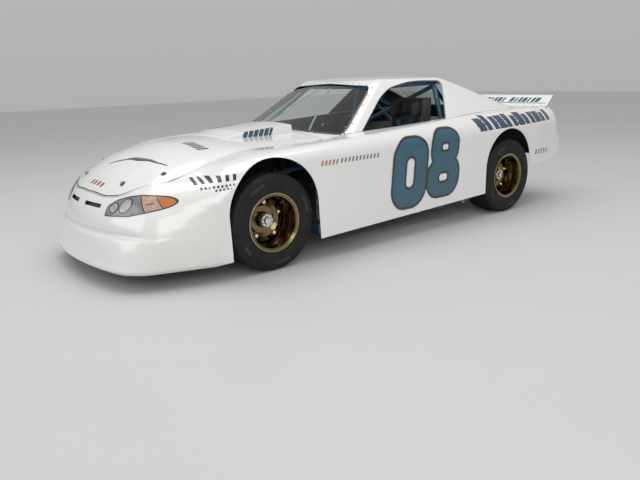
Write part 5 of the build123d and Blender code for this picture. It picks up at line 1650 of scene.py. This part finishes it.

# Pads of the seat, each a crowned form (x, y, z), turned and moved into place: centre, size, lean in degrees
# about y, how far it may swell, and where its sewn channels run (share of its length)
padTable = [
    # name, centre, size along the car, across, up; lean; swell; channels
    ("seatBase", (-1.625, 0.370, 0.285), (0.430, 0.330, 0.085), 6.0, 0.010, (0.32, 0.66)),
    ("seatBack", (-1.880, 0.370, 0.640), (0.060, 0.325, 0.560), -6.5, 0.010, (0.22, 0.40, 0.58, 0.76)),
    ("headRest", (-1.915, 0.370, 1.005), (0.062, 0.230, 0.120), -6.0, 0.008, ()),
    ("headSideLeft", (-1.860, 0.500, 0.985), (0.150, 0.045, 0.120), 0.0, 0.006, ()),
    ("headSideRight", (-1.860, 0.240, 0.985), (0.150, 0.045, 0.120), 0.0, 0.006, ()),
    ("ribLeft", (-1.815, 0.527, 0.700), (0.150, 0.040, 0.180), -6.0, 0.006, ()),
    ("ribRight", (-1.815, 0.213, 0.700), (0.150, 0.040, 0.180), -6.0, 0.006, ()),
]


def pillowForm(size, steps=20):
    # crowned box: its sides pull in between the corners
    a, b = np.meshgrid(np.linspace(-pi / 2, pi / 2, steps + 1),
                       np.linspace(0, 2 * pi, 4 * steps, endpoint=False), indexing="ij")

    def power(value, share):
        return np.sign(value) * np.abs(value) ** share

    thin = int(np.argmin(size))
    flat = [k for k in range(3) if k != thin]
    points = np.zeros(a.shape + (3,))
    points[..., thin] = power(np.sin(a), 0.75) * size[thin] / 2
    points[..., flat[0]] = power(np.cos(a), 0.35) * power(np.cos(b), 0.30) * size[flat[0]] / 2
    points[..., flat[1]] = power(np.cos(a), 0.35) * power(np.sin(b), 0.30) * size[flat[1]] / 2
    # the long edges draw in a little at their middles
    u, v = points[..., flat[0]] / size[flat[0]] * 2, points[..., flat[1]] / size[flat[1]] * 2
    points[..., flat[0]] *= 1 - 0.045 * (1 - v ** 2)
    points[..., flat[1]] *= 1 - 0.045 * (1 - u ** 2)
    return points.reshape(-1, 3), gridFaces(steps + 1, 4 * steps, closeColumns=True)


def swell(piece, cap):
    # cloth with inner pressure and no gravity; no point moves more than cap
    cloth = piece.modifiers.new("cloth", "CLOTH")
    cloth.settings.quality = 5
    cloth.settings.use_pressure = True
    cloth.settings.uniform_pressure_force = 4.0
    cloth.settings.effector_weights.gravity = 0.0
    cloth.settings.tension_stiffness = 12
    cloth.settings.compression_stiffness = 12
    cloth.collision_settings.use_self_collision = False
    cloth.point_cache.frame_start, cloth.point_cache.frame_end = 1, 20
    count = len(piece.data.vertices)
    rest = np.empty(count * 3)
    piece.data.vertices.foreach_get("co", rest)
    rest = rest.reshape(-1, 3)
    for number in range(1, 21):
        bpy.context.scene.frame_set(number)
    graph = bpy.context.evaluated_depsgraph_get()
    made = piece.evaluated_get(graph).to_mesh()
    moved = np.empty(count * 3)
    made.vertices.foreach_get("co", moved)
    piece.evaluated_get(graph).to_mesh_clear()
    away = moved.reshape(-1, 3) - rest
    far = np.linalg.norm(away, axis=1, keepdims=True)
    away *= np.minimum(1, cap / np.maximum(far, 1e-9))
    piece.modifiers.clear()
    piece.data.vertices.foreach_set("co", (rest + away).ravel())
    bpy.context.scene.frame_set(1)


def makePads(table):
    for name, centre, size, lean, cap, channels in table:
        points, quads = pillowForm(size)
        piece = newPiece(name, points, facingOut(points, quads), "seatCover", "chassis", 60.0)
        skin = piece.modifiers.new("skin", "REMESH")
        skin.mode = "VOXEL"
        skin.voxel_size = 0.006
        applyModifiers(piece, 60.0)
        swell(piece, cap)
        count = len(piece.data.vertices)
        co, normal = np.empty(count * 3), np.empty(count * 3)
        piece.data.vertices.foreach_get("co", co)
        piece.data.vertices.foreach_get("normal", normal)
        co, normal = co.reshape(-1, 3), normal.reshape(-1, 3)
        thin = int(np.argmin(size))
        along = 2 if name == "seatBack" else 0
        share = co[:, along] / size[along] + 0.5
        groove = np.zeros(count)
        for channel in channels:
            groove += np.exp(-((share - channel) * size[along] / 0.007) ** 2)
        groove += 0.7 * np.exp(-(co[:, thin] / 0.0035) ** 2)
        co = co - normal * (0.0055 * groove)[:, None]
        angle = radians(lean)
        turn = np.array([[cos(angle), 0, sin(angle)], [0, 1, 0], [-sin(angle), 0, cos(angle)]])
        co = co @ turn.T + np.array([at(centre[0]), centre[1], centre[2]])
        piece.data.vertices.foreach_set("co", co.ravel())
        piece.data.materials.clear()
        piece.data.materials.append(finishes["seatCover"])
        finishMesh(piece.data, 60.0)


makePads(padTable)
print("stage: seat pads")


# Belts: points from the front axle, away from the seat's middle line by a share of the side, and height
beltShape = {"middle": 0.370, "wide": 0.050, "crotchWide": 0.045, "thick": 0.0022,
             "shoulder": [(-1.880, 0.075, 0.900), (-1.846, 0.075, 0.880), (-1.825, 0.067, 0.760),
                          (-1.800, 0.055, 0.600), (-1.772, 0.035, 0.470), (-1.725, 0.022, 0.385)],
             "rear": [(-1.975, 0.075, 0.902), (-2.010, 0.095, 0.850), (-2.060, 0.115, 0.728)],
             "lap": [(-1.815, 0.158, 0.330), (-1.775, 0.120, 0.362), (-1.710, 0.034, 0.372)],
             "crotch": [(-1.480, 0, 0.338), (-1.560, 0, 0.352), (-1.670, 0, 0.366)],
             "lapAcross": (0.35, 0.0, 1.0), "tongue": (-1.757, 0.028, 0.440),
             "buckle": (-1.700, 0.370, 0.372)}


def makeBelts(shape):
    straps, tongues = [], []
    for side in (1, -1):
        beside = np.array([1, side, 1])
        off = np.array([0, shape["middle"], 0])
        for key, across in (("shoulder", (0, 1, 0)), ("rear", (0, 1, 0)), ("lap", shape["lapAcross"])):
            straps.append(strap(np.array(shape[key]) * beside + off, across, shape["wide"], shape["thick"]))
        tongues.append(box(np.array(shape["tongue"]) * beside + off, (0.012, 0.056, 0.030), 0.003))
    crotch = np.array(shape["crotch"]) + (0, shape["middle"], 0)
    straps.append(strap(crotch, (0, 1, 0), shape["crotchWide"], shape["thick"]))
    partsPiece("beltStraps", straps, "webbing", smoothAngle=50.0)
    partsPiece("beltTongues", tongues, "plainSteel")
    place = standAt(shape["buckle"], shape["lapAcross"], (0, 1, 0))
    cam = [disc(0.031, -0.004, 0.012, place, 0.003, 32), disc(0.017, 0.010, 0.017, place, 0.002, 24),
           slabPart(rectangle(-0.006, 0.006, -0.040, 0.0), 0.012, 0.018, place, 0.001)]
    partsPiece("beltBuckle", cam, "polished")


makeBelts(beltShape)

# Dials on the dash's rear face: middle across, height, radius, pointer's angle in degrees
dialTable = [(0.365, 0.787, 0.036, 60), (0.268, 0.770, 0.027, 115), (0.195, 0.770, 0.027, 80),
             (0.122, 0.770, 0.027, 100), (0.462, 0.770, 0.027, 75), (0.522, 0.770, 0.018, 95)]
dashShape = {"faceX": -0.973, "ticks": 13, "firstTick": -45, "sweep": 270,
             "panel": (-0.200, 0.040, 0.735, 0.800), "switches": 5, "firstSwitch": -0.172, "pitch": 0.046,
             "switchZ": 0.765, "label": (-0.010, 0.010, 0.745, 0.753)}


def dashPlace(p):
    return np.stack([at(dashShape["faceX"]) - p[:, 2], p[:, 0], p[:, 1]], -1)


def makeDials(shape):
    bezels, faces, ticks, pointers = [], [], [], []
    for y, z, radius, angle in dialTable:
        shift = (y, z)
        bezels.append(ringBar(radius, 0.004, 0.0026, dashPlace, 40, 8, shift))
        faces.append(disc(radius, 0.0, 0.0032, dashPlace, 0.0005, 36, shift))
        for k in range(shape["ticks"]):
            # every third tick is longer and wider
            near, half = (0.68, 0.0010) if k % 3 == 0 else (0.77, 0.0006)
            way = shape["firstTick"] + shape["sweep"] * k / (shape["ticks"] - 1)
            tick = turnedOutline(rectangle(radius * near, radius * 0.88, -half, half), way, shift)
            ticks.append(slabPart(tick, 0.0030, 0.0037, dashPlace, 0.0001))
        needle = [(-0.2 * radius, -0.0012), (0.78 * radius, -0.0004), (0.78 * radius, 0.0004),
                  (-0.2 * radius, 0.0012)]
        pointers.append(slabPart(turnedOutline(needle, angle, shift), 0.0040, 0.0048, dashPlace, 0.0002))
        pointers.append(disc(0.0034, 0.0034, 0.0056, dashPlace, 0.0005, 14, shift))
    partsPiece("dialBezels", bezels, "polished")
    partsPiece("dialFaces", faces, "satinBlack")
    partsPiece("dialTicks", ticks, "decalPale")
    partsPiece("dialPointers", pointers, "decalOrange")


def makeSwitches(shape):
    panel = slabPart(rectangle(*shape["panel"], 0.008, 4), 0.0, 0.0025, dashPlace, 0.0006)
    partsPiece("switchPanel", [panel], "bareSheet")
    switches, labels, z = [], [], shape["switchZ"]
    left, right, low, high = shape["label"]
    for k in range(shape["switches"]):
        y = shape["firstSwitch"] + shape["pitch"] * k
        switches.append(disc(0.0075, 0.002, 0.006, dashPlace, 0.001, 12, (y, z)))
        stick = np.array([(y, z, 0.004), (y, z + 0.007, 0.022)])
        switches.append(tubePart(dashPlace(stick), (0.0024, 0.0034), 8))
        label = rectangle(y + left, y + right, low, high, 0.002, 3)
        labels.append(slabPart(label, 0.002, 0.004, dashPlace, 0.0005))
    partsPiece("switches", switches, "polished")
    partsPiece("switchLabels", labels, "decalRed")


def makeDashCover():
    # dark cover from the cowl's edge to the top of the dash
    frontX, rearX = -0.903, -0.972
    x, y = np.meshgrid(np.linspace(frontX, rearX, 8), np.linspace(-0.560, 0.560, 41), indexing="ij")
    z = 0.832 + (x - rearX) / (frontX - rearX) * 0.018 * (1 - (y / 0.70) ** 2)
    cover = newPiece("dashCover", np.stack([at(x), y, z], -1), gridFaces(8, 41), "seatCover", "chassis")
    thicken(cover, 0.0015)


makeDials(dashShape)
makeSwitches(dashShape)
makeDashCover()

# Shift lever: boot rows (radius, height), path of the lever, knob
leverShape = {"boot": [(0.075, 0.0), (0.070, 0.006), (0.046, 0.020), (0.038, 0.034), (0.026, 0.046),
                       (0.020, 0.058), (0.014, 0.066)],
              "bootFoot": (-1.050, 0.040, 0.5645), "bootLean": 0.25, "bootFlat": 0.75,
              "path": [(-1.060, 0.040, 0.600), (-1.085, 0.042, 0.690), (-1.125, 0.055, 0.770)],
              "knob": (-1.125, 0.055, 0.785), "knobRadius": 0.023}


def makeLever(shape):
    ring = discOutline(1.0)
    x, y, z = shape["bootFoot"]
    rings = [[(x + r * c - h * shape["bootLean"], y + r * shape["bootFlat"] * s, z + h) for c, s in ring]
             for r, h in shape["boot"]]
    partsPiece("leverBoot", [ringPart(placedAt(rings))], "seatCover", smoothAngle=25.0)
    partsPiece("lever", [bar(shape["path"], 0.0070)], "polished")
    radius = shape["knobRadius"]
    (x, y, z), up = shape["knob"], np.linspace(0.15, pi - 0.15, 12)
    rings = [[(x + radius * c * sin(b), y + radius * s * sin(b), z - radius * cos(b)) for c, s in ring]
             for b in up]
    partsPiece("leverKnob", [ringPart(placedAt(rings))], "gripBlack", smoothAngle=60.0)


makeLever(leverShape)

# Pedals: place across, height of the arm's foot, width of the pad
pedalShape = {"pedals": [(0.300, 0.300, 0.046), (0.390, 0.318, 0.062), (0.480, 0.318, 0.062)],
              "tilt": [[0.85, 0, -0.53], [0, 1, 0], [0.53, 0, 0.85]], "ribs": 5, "firstRib": -0.028,
              "pitch": 0.014}


def makePedals(shape):
    arms, pads, tilt = [], [], np.array(shape["tilt"])
    for y, low, wide in shape["pedals"]:
        path = [(-0.668, y, 0.560), (-0.700, y, 0.470), (-0.760, y, low + 0.030)]
        arms.append(strap(path, (0, 1, 0), 0.020, 0.007, 7))
        arms.append(box((-0.658, y, 0.570), (0.028, 0.036, 0.060)))
        middle = np.array([-0.772, y, low + 0.022])
        pads.append(box(middle, (0.008, wide, 0.078), 0.003, tilt))
        for k in range(shape["ribs"]):
            shift = tilt @ np.array([-0.0055, 0, shape["firstRib"] + shape["pitch"] * k])
            pads.append(box(middle + shift, (0.004, wide * 0.86, 0.004), 0.001, tilt))
    partsPiece("pedalArms", arms, "plainSteel")
    partsPiece("pedalPads", pads, "bareSheet")


makePedals(pedalShape)

# Fire bottle, lying across the floor: rows (radius, place along it) and two holders
bottleShape = {"foot": (-1.560, -0.560, 0.262), "holders": (-0.490, -0.320), "holderRadius": 0.0565,
               "rows": [(0.0, 0.0), (0.030, 0.0), (0.050, 0.012), (0.054, 0.030), (0.054, 0.300),
                        (0.046, 0.325), (0.020, 0.342), (0.017, 0.356), (0.024, 0.358), (0.024, 0.378),
                        (0.0, 0.380)]}


def makeBottle(shape):
    x, y, z = shape["foot"]

    def hoop(radius, across):
        return [(x + radius * c, across, z + radius * s) for c, s in discOutline(1.0)]

    rings = placedAt([hoop(radius, y + along) for radius, along in shape["rows"]])
    partsPiece("fireBottle", [ringPart(rings, capped=False)], "decalRed", smoothAngle=35.0)
    holders = []
    for y in shape["holders"]:
        rings = placedAt([hoop(shape["holderRadius"], y + off) for off in (-0.010, 0.010)])
        holders.append(ringPart(rings, capped=False))
        holders.append(box((x, y, 0.203), (0.060, 0.030, 0.010), 0.002))
    partsPiece("bottleHolders", holders, "plainSteel")


makeBottle(bottleShape)

# Thin straps behind the windshield, from the middle of the roof's edge down to the cowl: (y, z) of their ends
glassBraceShape = {"top": (0.064, 1.206), "foot": (0.338, 0.893), "behind": 0.016, "wide": 0.022,
                   "thick": 0.003}


def makeGlassBraces(shape):
    (topY, topZ), (footY, footZ) = shape["top"], shape["foot"]
    straps = []
    for side in (1, -1):
        path = []
        for t in np.linspace(0, 1, 16):
            y, z = side * (topY + (footY - topY) * t), topZ + (footZ - topZ) * t
            place = onSheet(cabinSheet(), cabinX(abs(y), z, (-0.60, -1.35), 500), y)
            path.append(place(np.array([(0, 0, -shape["behind"])]))[0])
        straps.append(strapPart(path, (0, 1, 0), shape["wide"], shape["thick"]))
    partsPiece("glassBraces", straps, "bareSheet")


makeGlassBraces(glassBraceShape)

# Sheet from the bulkhead's top up to the rear window's foot, with a raised cover over each wheel
rearSheetShape = {"x": (-2.092, -2.945), "half": 0.930, "frontZ": 0.622, "rise": 0.215, "power": 0.9,
                  "coverY": 0.612, "coverSlope": 0.012, "coverZ": 0.795, "underBody": 0.030, "thick": 0.0016}


def makeRearSheets(shape):
    frontX, rearX = shape["x"]
    x, y = np.meshgrid(np.linspace(frontX, rearX, 60), np.linspace(-shape["half"], shape["half"], 120),
                       indexing="ij")
    middle = shape["frontZ"] + shape["rise"] * ((frontX - x) / (frontX - rearX)) ** shape["power"]
    cover = np.clip((np.abs(y) - shape["coverY"]) / shape["coverSlope"], 0, 1)
    z = middle + (np.maximum(middle, shape["coverZ"]) - middle) * cover
    z = np.minimum(z, bodyTop(x.ravel(), y.ravel()).reshape(x.shape) - shape["underBody"])
    piece = newPiece("rearSheets", np.stack([at(x), y, z], -1), gridFaces(60, 120), "darkSheet", "chassis")
    thicken(piece, shape["thick"])


makeRearSheets(rearSheetShape)
print("stage: cabin fittings")


# Under the hood. Places are metres from the front axle; side is 1 on the engine's left bank, -1 on its right
engineShape = {"x": -0.285, "coverY": 0.176, "coverZ": 0.738, "bank": 28, "fins": 9, "firstFin": -0.192,
               "finPitch": 0.048, "bolts": 5, "firstBolt": -0.225, "boltPitch": 0.1125, "boltY": 0.066,
               "breather": 0.16, "ports": (-0.070, -0.215, -0.360, -0.505), "filterZ": 0.8155,
               "frontX": 0.020, "capX": -0.530}


def makeValveCovers(shape):
    # each cover lies on its bank: a flange, a domed box with fins, bolts and a breather cap
    covers, bolts = [], []
    for side in (1, -1):
        c, s = cos(radians(shape["bank"])), -side * sin(radians(shape["bank"]))
        turn = np.array([[1, 0, 0], [0, c, -s], [0, s, c]])

        def onBank(*p):
            return np.array([shape["x"], side * shape["coverY"], shape["coverZ"]]) + turn @ p

        covers.append(box(onBank(0, 0, 0), (0.500, 0.150, 0.018), 0.006, turn))
        covers.append(box(onBank(0, 0, 0.034), (0.470, 0.112, 0.064), 0.022, turn))
        for k in range(shape["fins"]):
            fin = onBank(shape["firstFin"] + shape["finPitch"] * k, 0, 0.0675)
            covers.append(box(fin, (0.020, 0.088, 0.006), 0.002, turn))
        for k in range(shape["bolts"]):
            for y in (-shape["boltY"], shape["boltY"]):
                point = onBank(shape["firstBolt"] + shape["boltPitch"] * k, y, 0.009)
                bolts.append(disc(0.007, 0, 0.008, standAt(point, turn @ (0, 0, 1.0)), 0.0015, 10))
        bolts.append(disc(0.022, 0, 0.030, standAt(onBank(shape["breather"] * side, 0, 0.070)), 0.004, 24))
    partsPiece("valveCovers", covers, "decalBlue", smoothAngle=35.0)
    partsPiece("coverBolts", bolts, "polished")


def makeIntake(shape):
    x = shape["x"]
    intake = [box((x, 0, 0.738), (0.400, 0.150, 0.040), 0.014),
              box((x, 0, 0.770), (0.150, 0.130, 0.040), 0.008)]
    for k in range(4):
        for side in (1, -1):
            portX = x - 0.15 + 0.10 * k
            runner = [(x - 0.03 + 0.02 * k, side * 0.035, 0.765), (portX, side * 0.075, 0.758),
                      (portX, side * 0.120, 0.722)]
            intake.append(bar(runner, 0.020, 10, 5))
    partsPiece("intake", intake, "castAlloy")
    bowls = [box((bowlX, 0, 0.797), (0.036, 0.080, 0.026)) for bowlX in (-0.220, -0.350)]
    partsPiece("carburetor", [box((x, 0, 0.800), (0.110, 0.100, 0.030), 0.005), *bowls], "burntSteel")
    place = standAt((x, 0, shape["filterZ"]))
    partsPiece("airFilter", [disc(0.150, 0.004, 0.040, place, 0.003, 96)], "filterPaper")
    cleaner = [disc(0.160, 0.0, 0.006, place, 0.002, 64), disc(0.160, 0.038, 0.045, place, 0.003, 64),
               disc(0.010, 0.044, 0.052, place, 0.002, 12)]
    partsPiece("airCleaner", cleaner, "polished")


def makeHeaders(shape):
    # four pipes on each side, gathered behind and below, each with a flange on the engine
    pipes = []
    for side in (1, -1):
        for k, x in enumerate(shape["ports"]):
            end = (-0.318 - 0.012 * (k - 1.5), side * (0.262 + 0.012 * (k % 2)), 0.355 + 0.010 * (k // 2))
            path = [(x, side * 0.258, 0.585), (x, side * 0.305, 0.580), (x * 0.8 - 0.06, side * 0.332, 0.500),
                    (x * 0.35 - 0.19, side * 0.312, 0.410), end]
            pipes.append(bar(path, 0.0205, 12, 7))
            flange = rectangle(-0.042, 0.042, -0.030, 0.030, 0.014, 4)
            pipes.append(slabPart(flange, 0.0, 0.009, standAt((x, side * 0.260, 0.585), (0, side, 0)), 0.002))
    partsPiece("headers", pipes, "burntSteel", smoothAngle=50.0)


# Belt drive: pulleys and the cases behind two of them (y, z, radius), and the belts' corners (y, z)
driveShape = {"pulleys": [(0, 0.360, 0.078), (0, 0.560, 0.066), (-0.185, 0.630, 0.036),
                          (0.175, 0.470, 0.048)],
              "belts": [[(0.070, 0.340), (-0.030, 0.288), (-0.075, 0.372), (-0.217, 0.612), (-0.205, 0.662),
                         (-0.150, 0.650), (0.020, 0.622), (0.060, 0.585)],
                        [(0.020, 0.284), (-0.070, 0.330), (-0.060, 0.400), (0.140, 0.503), (0.185, 0.516),
                         (0.222, 0.480), (0.205, 0.433)]],
              "cases": [(-0.185, 0.630, 0.062, 0.110), (0.175, 0.470, 0.042, 0.070)]}


def makeDrive(shape, frontX):
    pulleys = []
    for y, z, radius in shape["pulleys"]:
        place = standAt((frontX, y, z), (1, 0, 0), (0, 1, 0))
        for share, low, high, bevel, steps in ((1.0, 0.020, 0.030, 0.002, 40), (1.0, 0.042, 0.050, 0.002, 40),
                                               (0.86, 0.0, 0.045, 0.002, 40),
                                               (0.30, 0.045, 0.060, 0.003, 20)):
            pulleys.append(disc(radius * share, low, high, place, bevel, steps))
    partsPiece("pulleys", pulleys, "bareSheet", smoothAngle=35.0)
    belts = []
    for corners in shape["belts"]:
        path = [(frontX + 0.036, y, z) for y, z in roundCorners(corners, 0.03, 5)]
        belts.append(tubePart(placedAt(path), 0.0055, 8, closed=True))
    partsPiece("driveBelts", belts, "rubber", smoothAngle=60.0)
    cases = [box((frontX + 0.010, 0, 0.470), (0.024, 0.220, 0.300), 0.010),
             box((engineShape["x"], 0, 0.205), (0.560, 0.300, 0.050), 0.018)]
    for y, z, radius, long in shape["cases"]:
        place = standAt((frontX, y, z), (1, 0, 0), (0, 1, 0))
        cases.append(disc(radius, -long * 0.15, 0.018, place, 0.006, 32))
    partsPiece("frontCase", cases, "castAlloy", smoothAngle=35.0)


def makeIgnition(shape):
    capX, place = shape["capX"], standAt((shape["capX"], 0, 0.722))
    cap = [disc(0.040, 0.0, 0.050, place, 0.004, 32), disc(0.048, 0.045, 0.080, place, 0.006, 32)]
    partsPiece("distributor", cap, "decalRed", smoothAngle=35.0)
    wires = []
    for side in (1, -1):
        for k, x in enumerate(shape["ports"]):
            way = radians(40 + 33 * k) * side
            startX, startY = capX + 0.036 * cos(way), 0.036 * sin(way)
            path = [(startX, startY, 0.802), (startX + 0.02, side * 0.080, 0.822),
                    (x - 0.03, side * (0.255 + 0.004 * k), 0.760), (x, side * 0.284, 0.690),
                    (x, side * 0.270, 0.635)]
            wires.append(bar(path, 0.0042, 8))
    partsPiece("plugWires", wires, "decalBlue", smoothAngle=60.0)


# Coolant hoses by points chosen along them, and their clips: place, way of the hose
hoseShape = {"radius": 0.0200,
             "hoses": [[(0.598, -0.200, 0.610), (0.520, -0.200, 0.640), (0.300, -0.130, 0.690),
                        (0.120, -0.060, 0.700), (-0.010, -0.040, 0.735)],
                       [(0.598, 0.200, 0.300), (0.500, 0.200, 0.310), (0.260, 0.180, 0.380),
                        (0.120, 0.110, 0.420), (0.044, 0.080, 0.440)]],
             "clips": [((0.570, -0.200, 0.622), (1, 0, -0.3)), ((0.045, -0.048, 0.717), (1, -0.1, -0.3)),
                       ((0.570, 0.200, 0.303), (1, 0, 0)), ((0.085, 0.096, 0.431), (1, 0.4, -0.3))]}


def makeHoses(shape):
    partsPiece("coolantHoses", [bar(path, shape["radius"], 14, 9) for path in shape["hoses"]], "rubber",
               smoothAngle=60.0)
    places = [standAt(point, way, (0, 1, 0)) for point, way in shape["clips"]]
    clips = [disc(0.0215, -0.006, 0.006, place, 0.001, 24) for place in places]
    partsPiece("hoseClips", clips, "polished")


def makeMasters():
    # three brake and clutch cylinders on the firewall, each with its cup
    masters = []
    for y in (0.320, 0.385, 0.450):
        masters.append(tubePart(placedAt([(-0.638, y, 0.690), (-0.560, y, 0.690)]), 0.015, 14))
        masters.append(disc(0.024, 0.0, 0.050, standAt((-0.585, y, 0.702)), 0.005, 24))
    partsPiece("masterCylinders", masters, "castAlloy")


makeValveCovers(engineShape)
makeIntake(engineShape)
makeHeaders(engineShape)
makeDrive(driveShape, engineShape["frontX"])
makeIgnition(engineShape)
makeHoses(hoseShape)
makeMasters()

# Radiator's core and the fan behind it: blades by rows (reach, half width, half lift)
radiatorShape = {"x": 0.6245, "z": 0.440, "core": (0.0616, 0.560, 0.330), "fanBack": 0.030, "frame": 0.150,
                 "spokeInner": 0.035, "blades": 7, "bladeUp": 0.026, "bladeThick": 0.002,
                 "blade": [(0.040, 0.014, 0.003), (0.090, 0.022, 0.006), (0.140, 0.026, 0.008)]}


def makeRadiator(shape):
    core = box((shape["x"], 0, shape["z"]), shape["core"], 0.001)
    partsPiece("radiatorCore", [core], "coreFins")
    place = standAt((shape["x"] - shape["fanBack"], 0, shape["z"]), (-1, 0, 0), (0, 1, 0))
    parts = [ringBar(shape["frame"], 0.030, 0.006, place, 64, 8)]
    for c, s in discOutline(1.0, 8):
        spoke = [(reach * c, reach * s, 0.012) for reach in (shape["spokeInner"], shape["frame"])]
        parts.append(tubePart(place(np.array(spoke)), 0.003, 6))
    parts.append(disc(0.042, 0.006, 0.040, place, 0.006, 32))
    partsPiece("fanFrame", parts, "satinBlack")
    blades = []
    for k in range(shape["blades"]):
        way, rings = 2 * pi * k / shape["blades"], []
        for reach, wide, lift in shape["blade"]:
            corners = [(-1, 0.0), (1, 0.0), (1, shape["bladeThick"]), (-1, shape["bladeThick"])]
            ring = [(reach * cos(way + end * wide / reach), reach * sin(way + end * wide / reach),
                     shape["bladeUp"] + end * lift - down) for end, down in corners]
            rings.append(place(np.array(ring)))
        blades.append(ringPart(rings))
    partsPiece("fanBlades", blades, "gripBlack", smoothAngle=50.0)


makeRadiator(radiatorShape)

# Fuel cell's straps, filler plate with its bolts, and vent
cellShape = {"x": -3.137, "fillerY": 0.130, "topZ": 0.5855, "straps": (-3.030, -3.245),
             "strap": [(-0.3145, 0.300), (-0.3145, 0.560), (-0.300, 0.5885), (0.300, 0.5885), (0.3145, 0.560),
                       (0.3145, 0.300)],
             "vent": [(-3.137, -0.120, 0.590), (-3.137, -0.125, 0.650), (-3.060, -0.200, 0.672),
                      (-2.990, -0.300, 0.620), (-2.975, -0.345, 0.520)]}


def makeCell(shape):
    straps = [strapPart([(at(x), y, z) for y, z in shape["strap"]], (1, 0, 0), 0.034,
                        0.003) for x in shape["straps"]]
    partsPiece("cellStraps", straps, "plainSteel")
    place = standAt((shape["x"], shape["fillerY"], shape["topZ"]))
    plate = [disc(0.078, 0.0, 0.006, place, 0.001, 48), disc(0.034, 0.004, 0.045, place, 0.003, 32),
             disc(0.042, 0.040, 0.056, place, 0.004, 32)]
    partsPiece("cellFiller", plate, "bareSheet", smoothAngle=35.0)
    bolts = [disc(0.0055, 0.005, 0.010, place, 0.001, 6, shift) for shift in discOutline(0.066, 12)]
    partsPiece("cellBolts", bolts, "plainSteel")
    partsPiece("cellVent", [bar(shape["vent"], 0.0085, 10)], "rubber", smoothAngle=60.0)


makeCell(cellShape)

# Tail lamps are stickers: piece, finish, lift, then middle (y, z), half width, half height and corner radius
tailLampTable = [("tailLampRim", "decalBlack", 0.0010, (0.640, 0.765), (0.180, 0.056, 0.026), 0.0),
                 ("tailLampRed", "lampTail", 0.0016, (0.640, 0.765), (0.180, 0.056, 0.026), -0.007),
                 ("tailLampPale", "lampSilver", 0.0022, (0.520, 0.765), (0.040, 0.036, 0.012), 0.0)]


def makeTailLamps(table):
    for name, material, lift, (midY, midZ), size, grow in table:
        def keep(points):
            return roundBox(np.abs(points[..., 1]) - midY, points[..., 2] - midZ, *size) + grow

        points, quads = trimmedSheet(endSheet(tailShape, lift), np.linspace(-0.62, -0.10, 130),
                                     np.linspace(0.69, 0.84, 40), keep, flip=True)
        bothSides(name, points, quads, material)


makeTailLamps(tailLampTable)
print("stage: engine bay and rear")


# Materials of the CAD nodes that stay
nodeFinish = {
    "tubeBlue": ["frame", "main_hoop", "roll_cage"],
    "bodyWhite": ["cowl", "spoiler"],
    "satinBlack": ["rear_axle", "coilovers", "knuckle_left", "knuckle_right", "front_arms", "fuel_cell"],
    "bareSheet": ["floor_pan", "radiator"], "darkSheet": ["dash", "seat"],
    "castIron": ["engine"], "castAlloy": ["gearbox"],
    "plainSteel": ["drive_shaft", "rear_links", "steering_gear", "tie_rods"],
    "burntSteel": ["exhaust"],
    "wheelGold": ["wheel_front_left", "wheel_front_right", "wheel_rear_left", "wheel_rear_right"],
}
for finish, names in nodeFinish.items():
    for name in names:
        node = frame["nodes"][name]
        node.data.materials.clear()
        node.data.materials.append(finishes[finish])


# Studio: pale floor, soft lamps, a sky that is brighter overhead
studio = {"floorColor": (0.60, 0.60, 0.595), "floorSize": 60.0, "worldLow": 0.42, "worldHigh": 0.62,
          "sky": (1.0, 1.0, 1.0),
          "lamps": [  # name, place, aim, size, power
              ("overhead", (0.5, 0.5, 7.5), (0.0, 0.0, 0.6), (9.0, 6.0), 290.0),
              ("cameraSide", (4.5, 8.5, 4.2), (0.4, 0.6, 0.5), (8.0, 4.0), 225.0),
              ("noseSide", (9.5, -2.0, 4.2), (1.6, 0.0, 0.5), (6.0, 4.0), 115.0)]}


def makeStudio(setup):
    half = setup["floorSize"] / 2
    mesh = bpy.data.meshes.new("floor")
    mesh.from_pydata([(-half, -half, 0), (half, -half, 0), (half, half, 0), (-half, half, 0)], [],
                     [(0, 1, 2, 3)])
    floor = bpy.data.objects.new("floor", mesh)
    bpy.context.scene.collection.objects.link(floor)
    mesh.materials.append(paint("floorPale", setup["floorColor"],
                                tuple(0.97 * c for c in setup["floorColor"]),
                                rough=(0.55, 0.7), scale=0.6, specular=0.25))
    for name, place, aim, size, power in setup["lamps"]:
        data = bpy.data.lights.new(name, "AREA")
        data.shape = "RECTANGLE"
        data.size, data.size_y = size
        data.energy = power
        lamp = bpy.data.objects.new(name, data)
        bpy.context.scene.collection.objects.link(lamp)
        way = Matrix.Translation(place).to_translation() - Matrix.Translation(aim).to_translation()
        lamp.matrix_world = Matrix.Translation(place) @ way.to_track_quat("Z", "Y").to_matrix().to_4x4()
    world = bpy.data.worlds.new("world")
    bpy.context.scene.world = world
    world.use_nodes = True
    nodes, links = world.node_tree.nodes, world.node_tree.links
    place = nodes.new("ShaderNodeTexCoord")
    split = nodes.new("ShaderNodeSeparateXYZ")
    links.new(place.outputs["Generated"], split.inputs["Vector"])
    setInputs(nodes["Background"], {"Color": (*setup["sky"], 1)})
    brightness = mapTo(nodes, links, split.outputs["Z"], setup["worldLow"], setup["worldHigh"], -0.1, 0.9)
    links.new(brightness, nodes["Background"].inputs["Strength"])
    bpy.context.scene.view_settings.view_transform = "Standard"


makeStudio(studio)

print("stage: done")
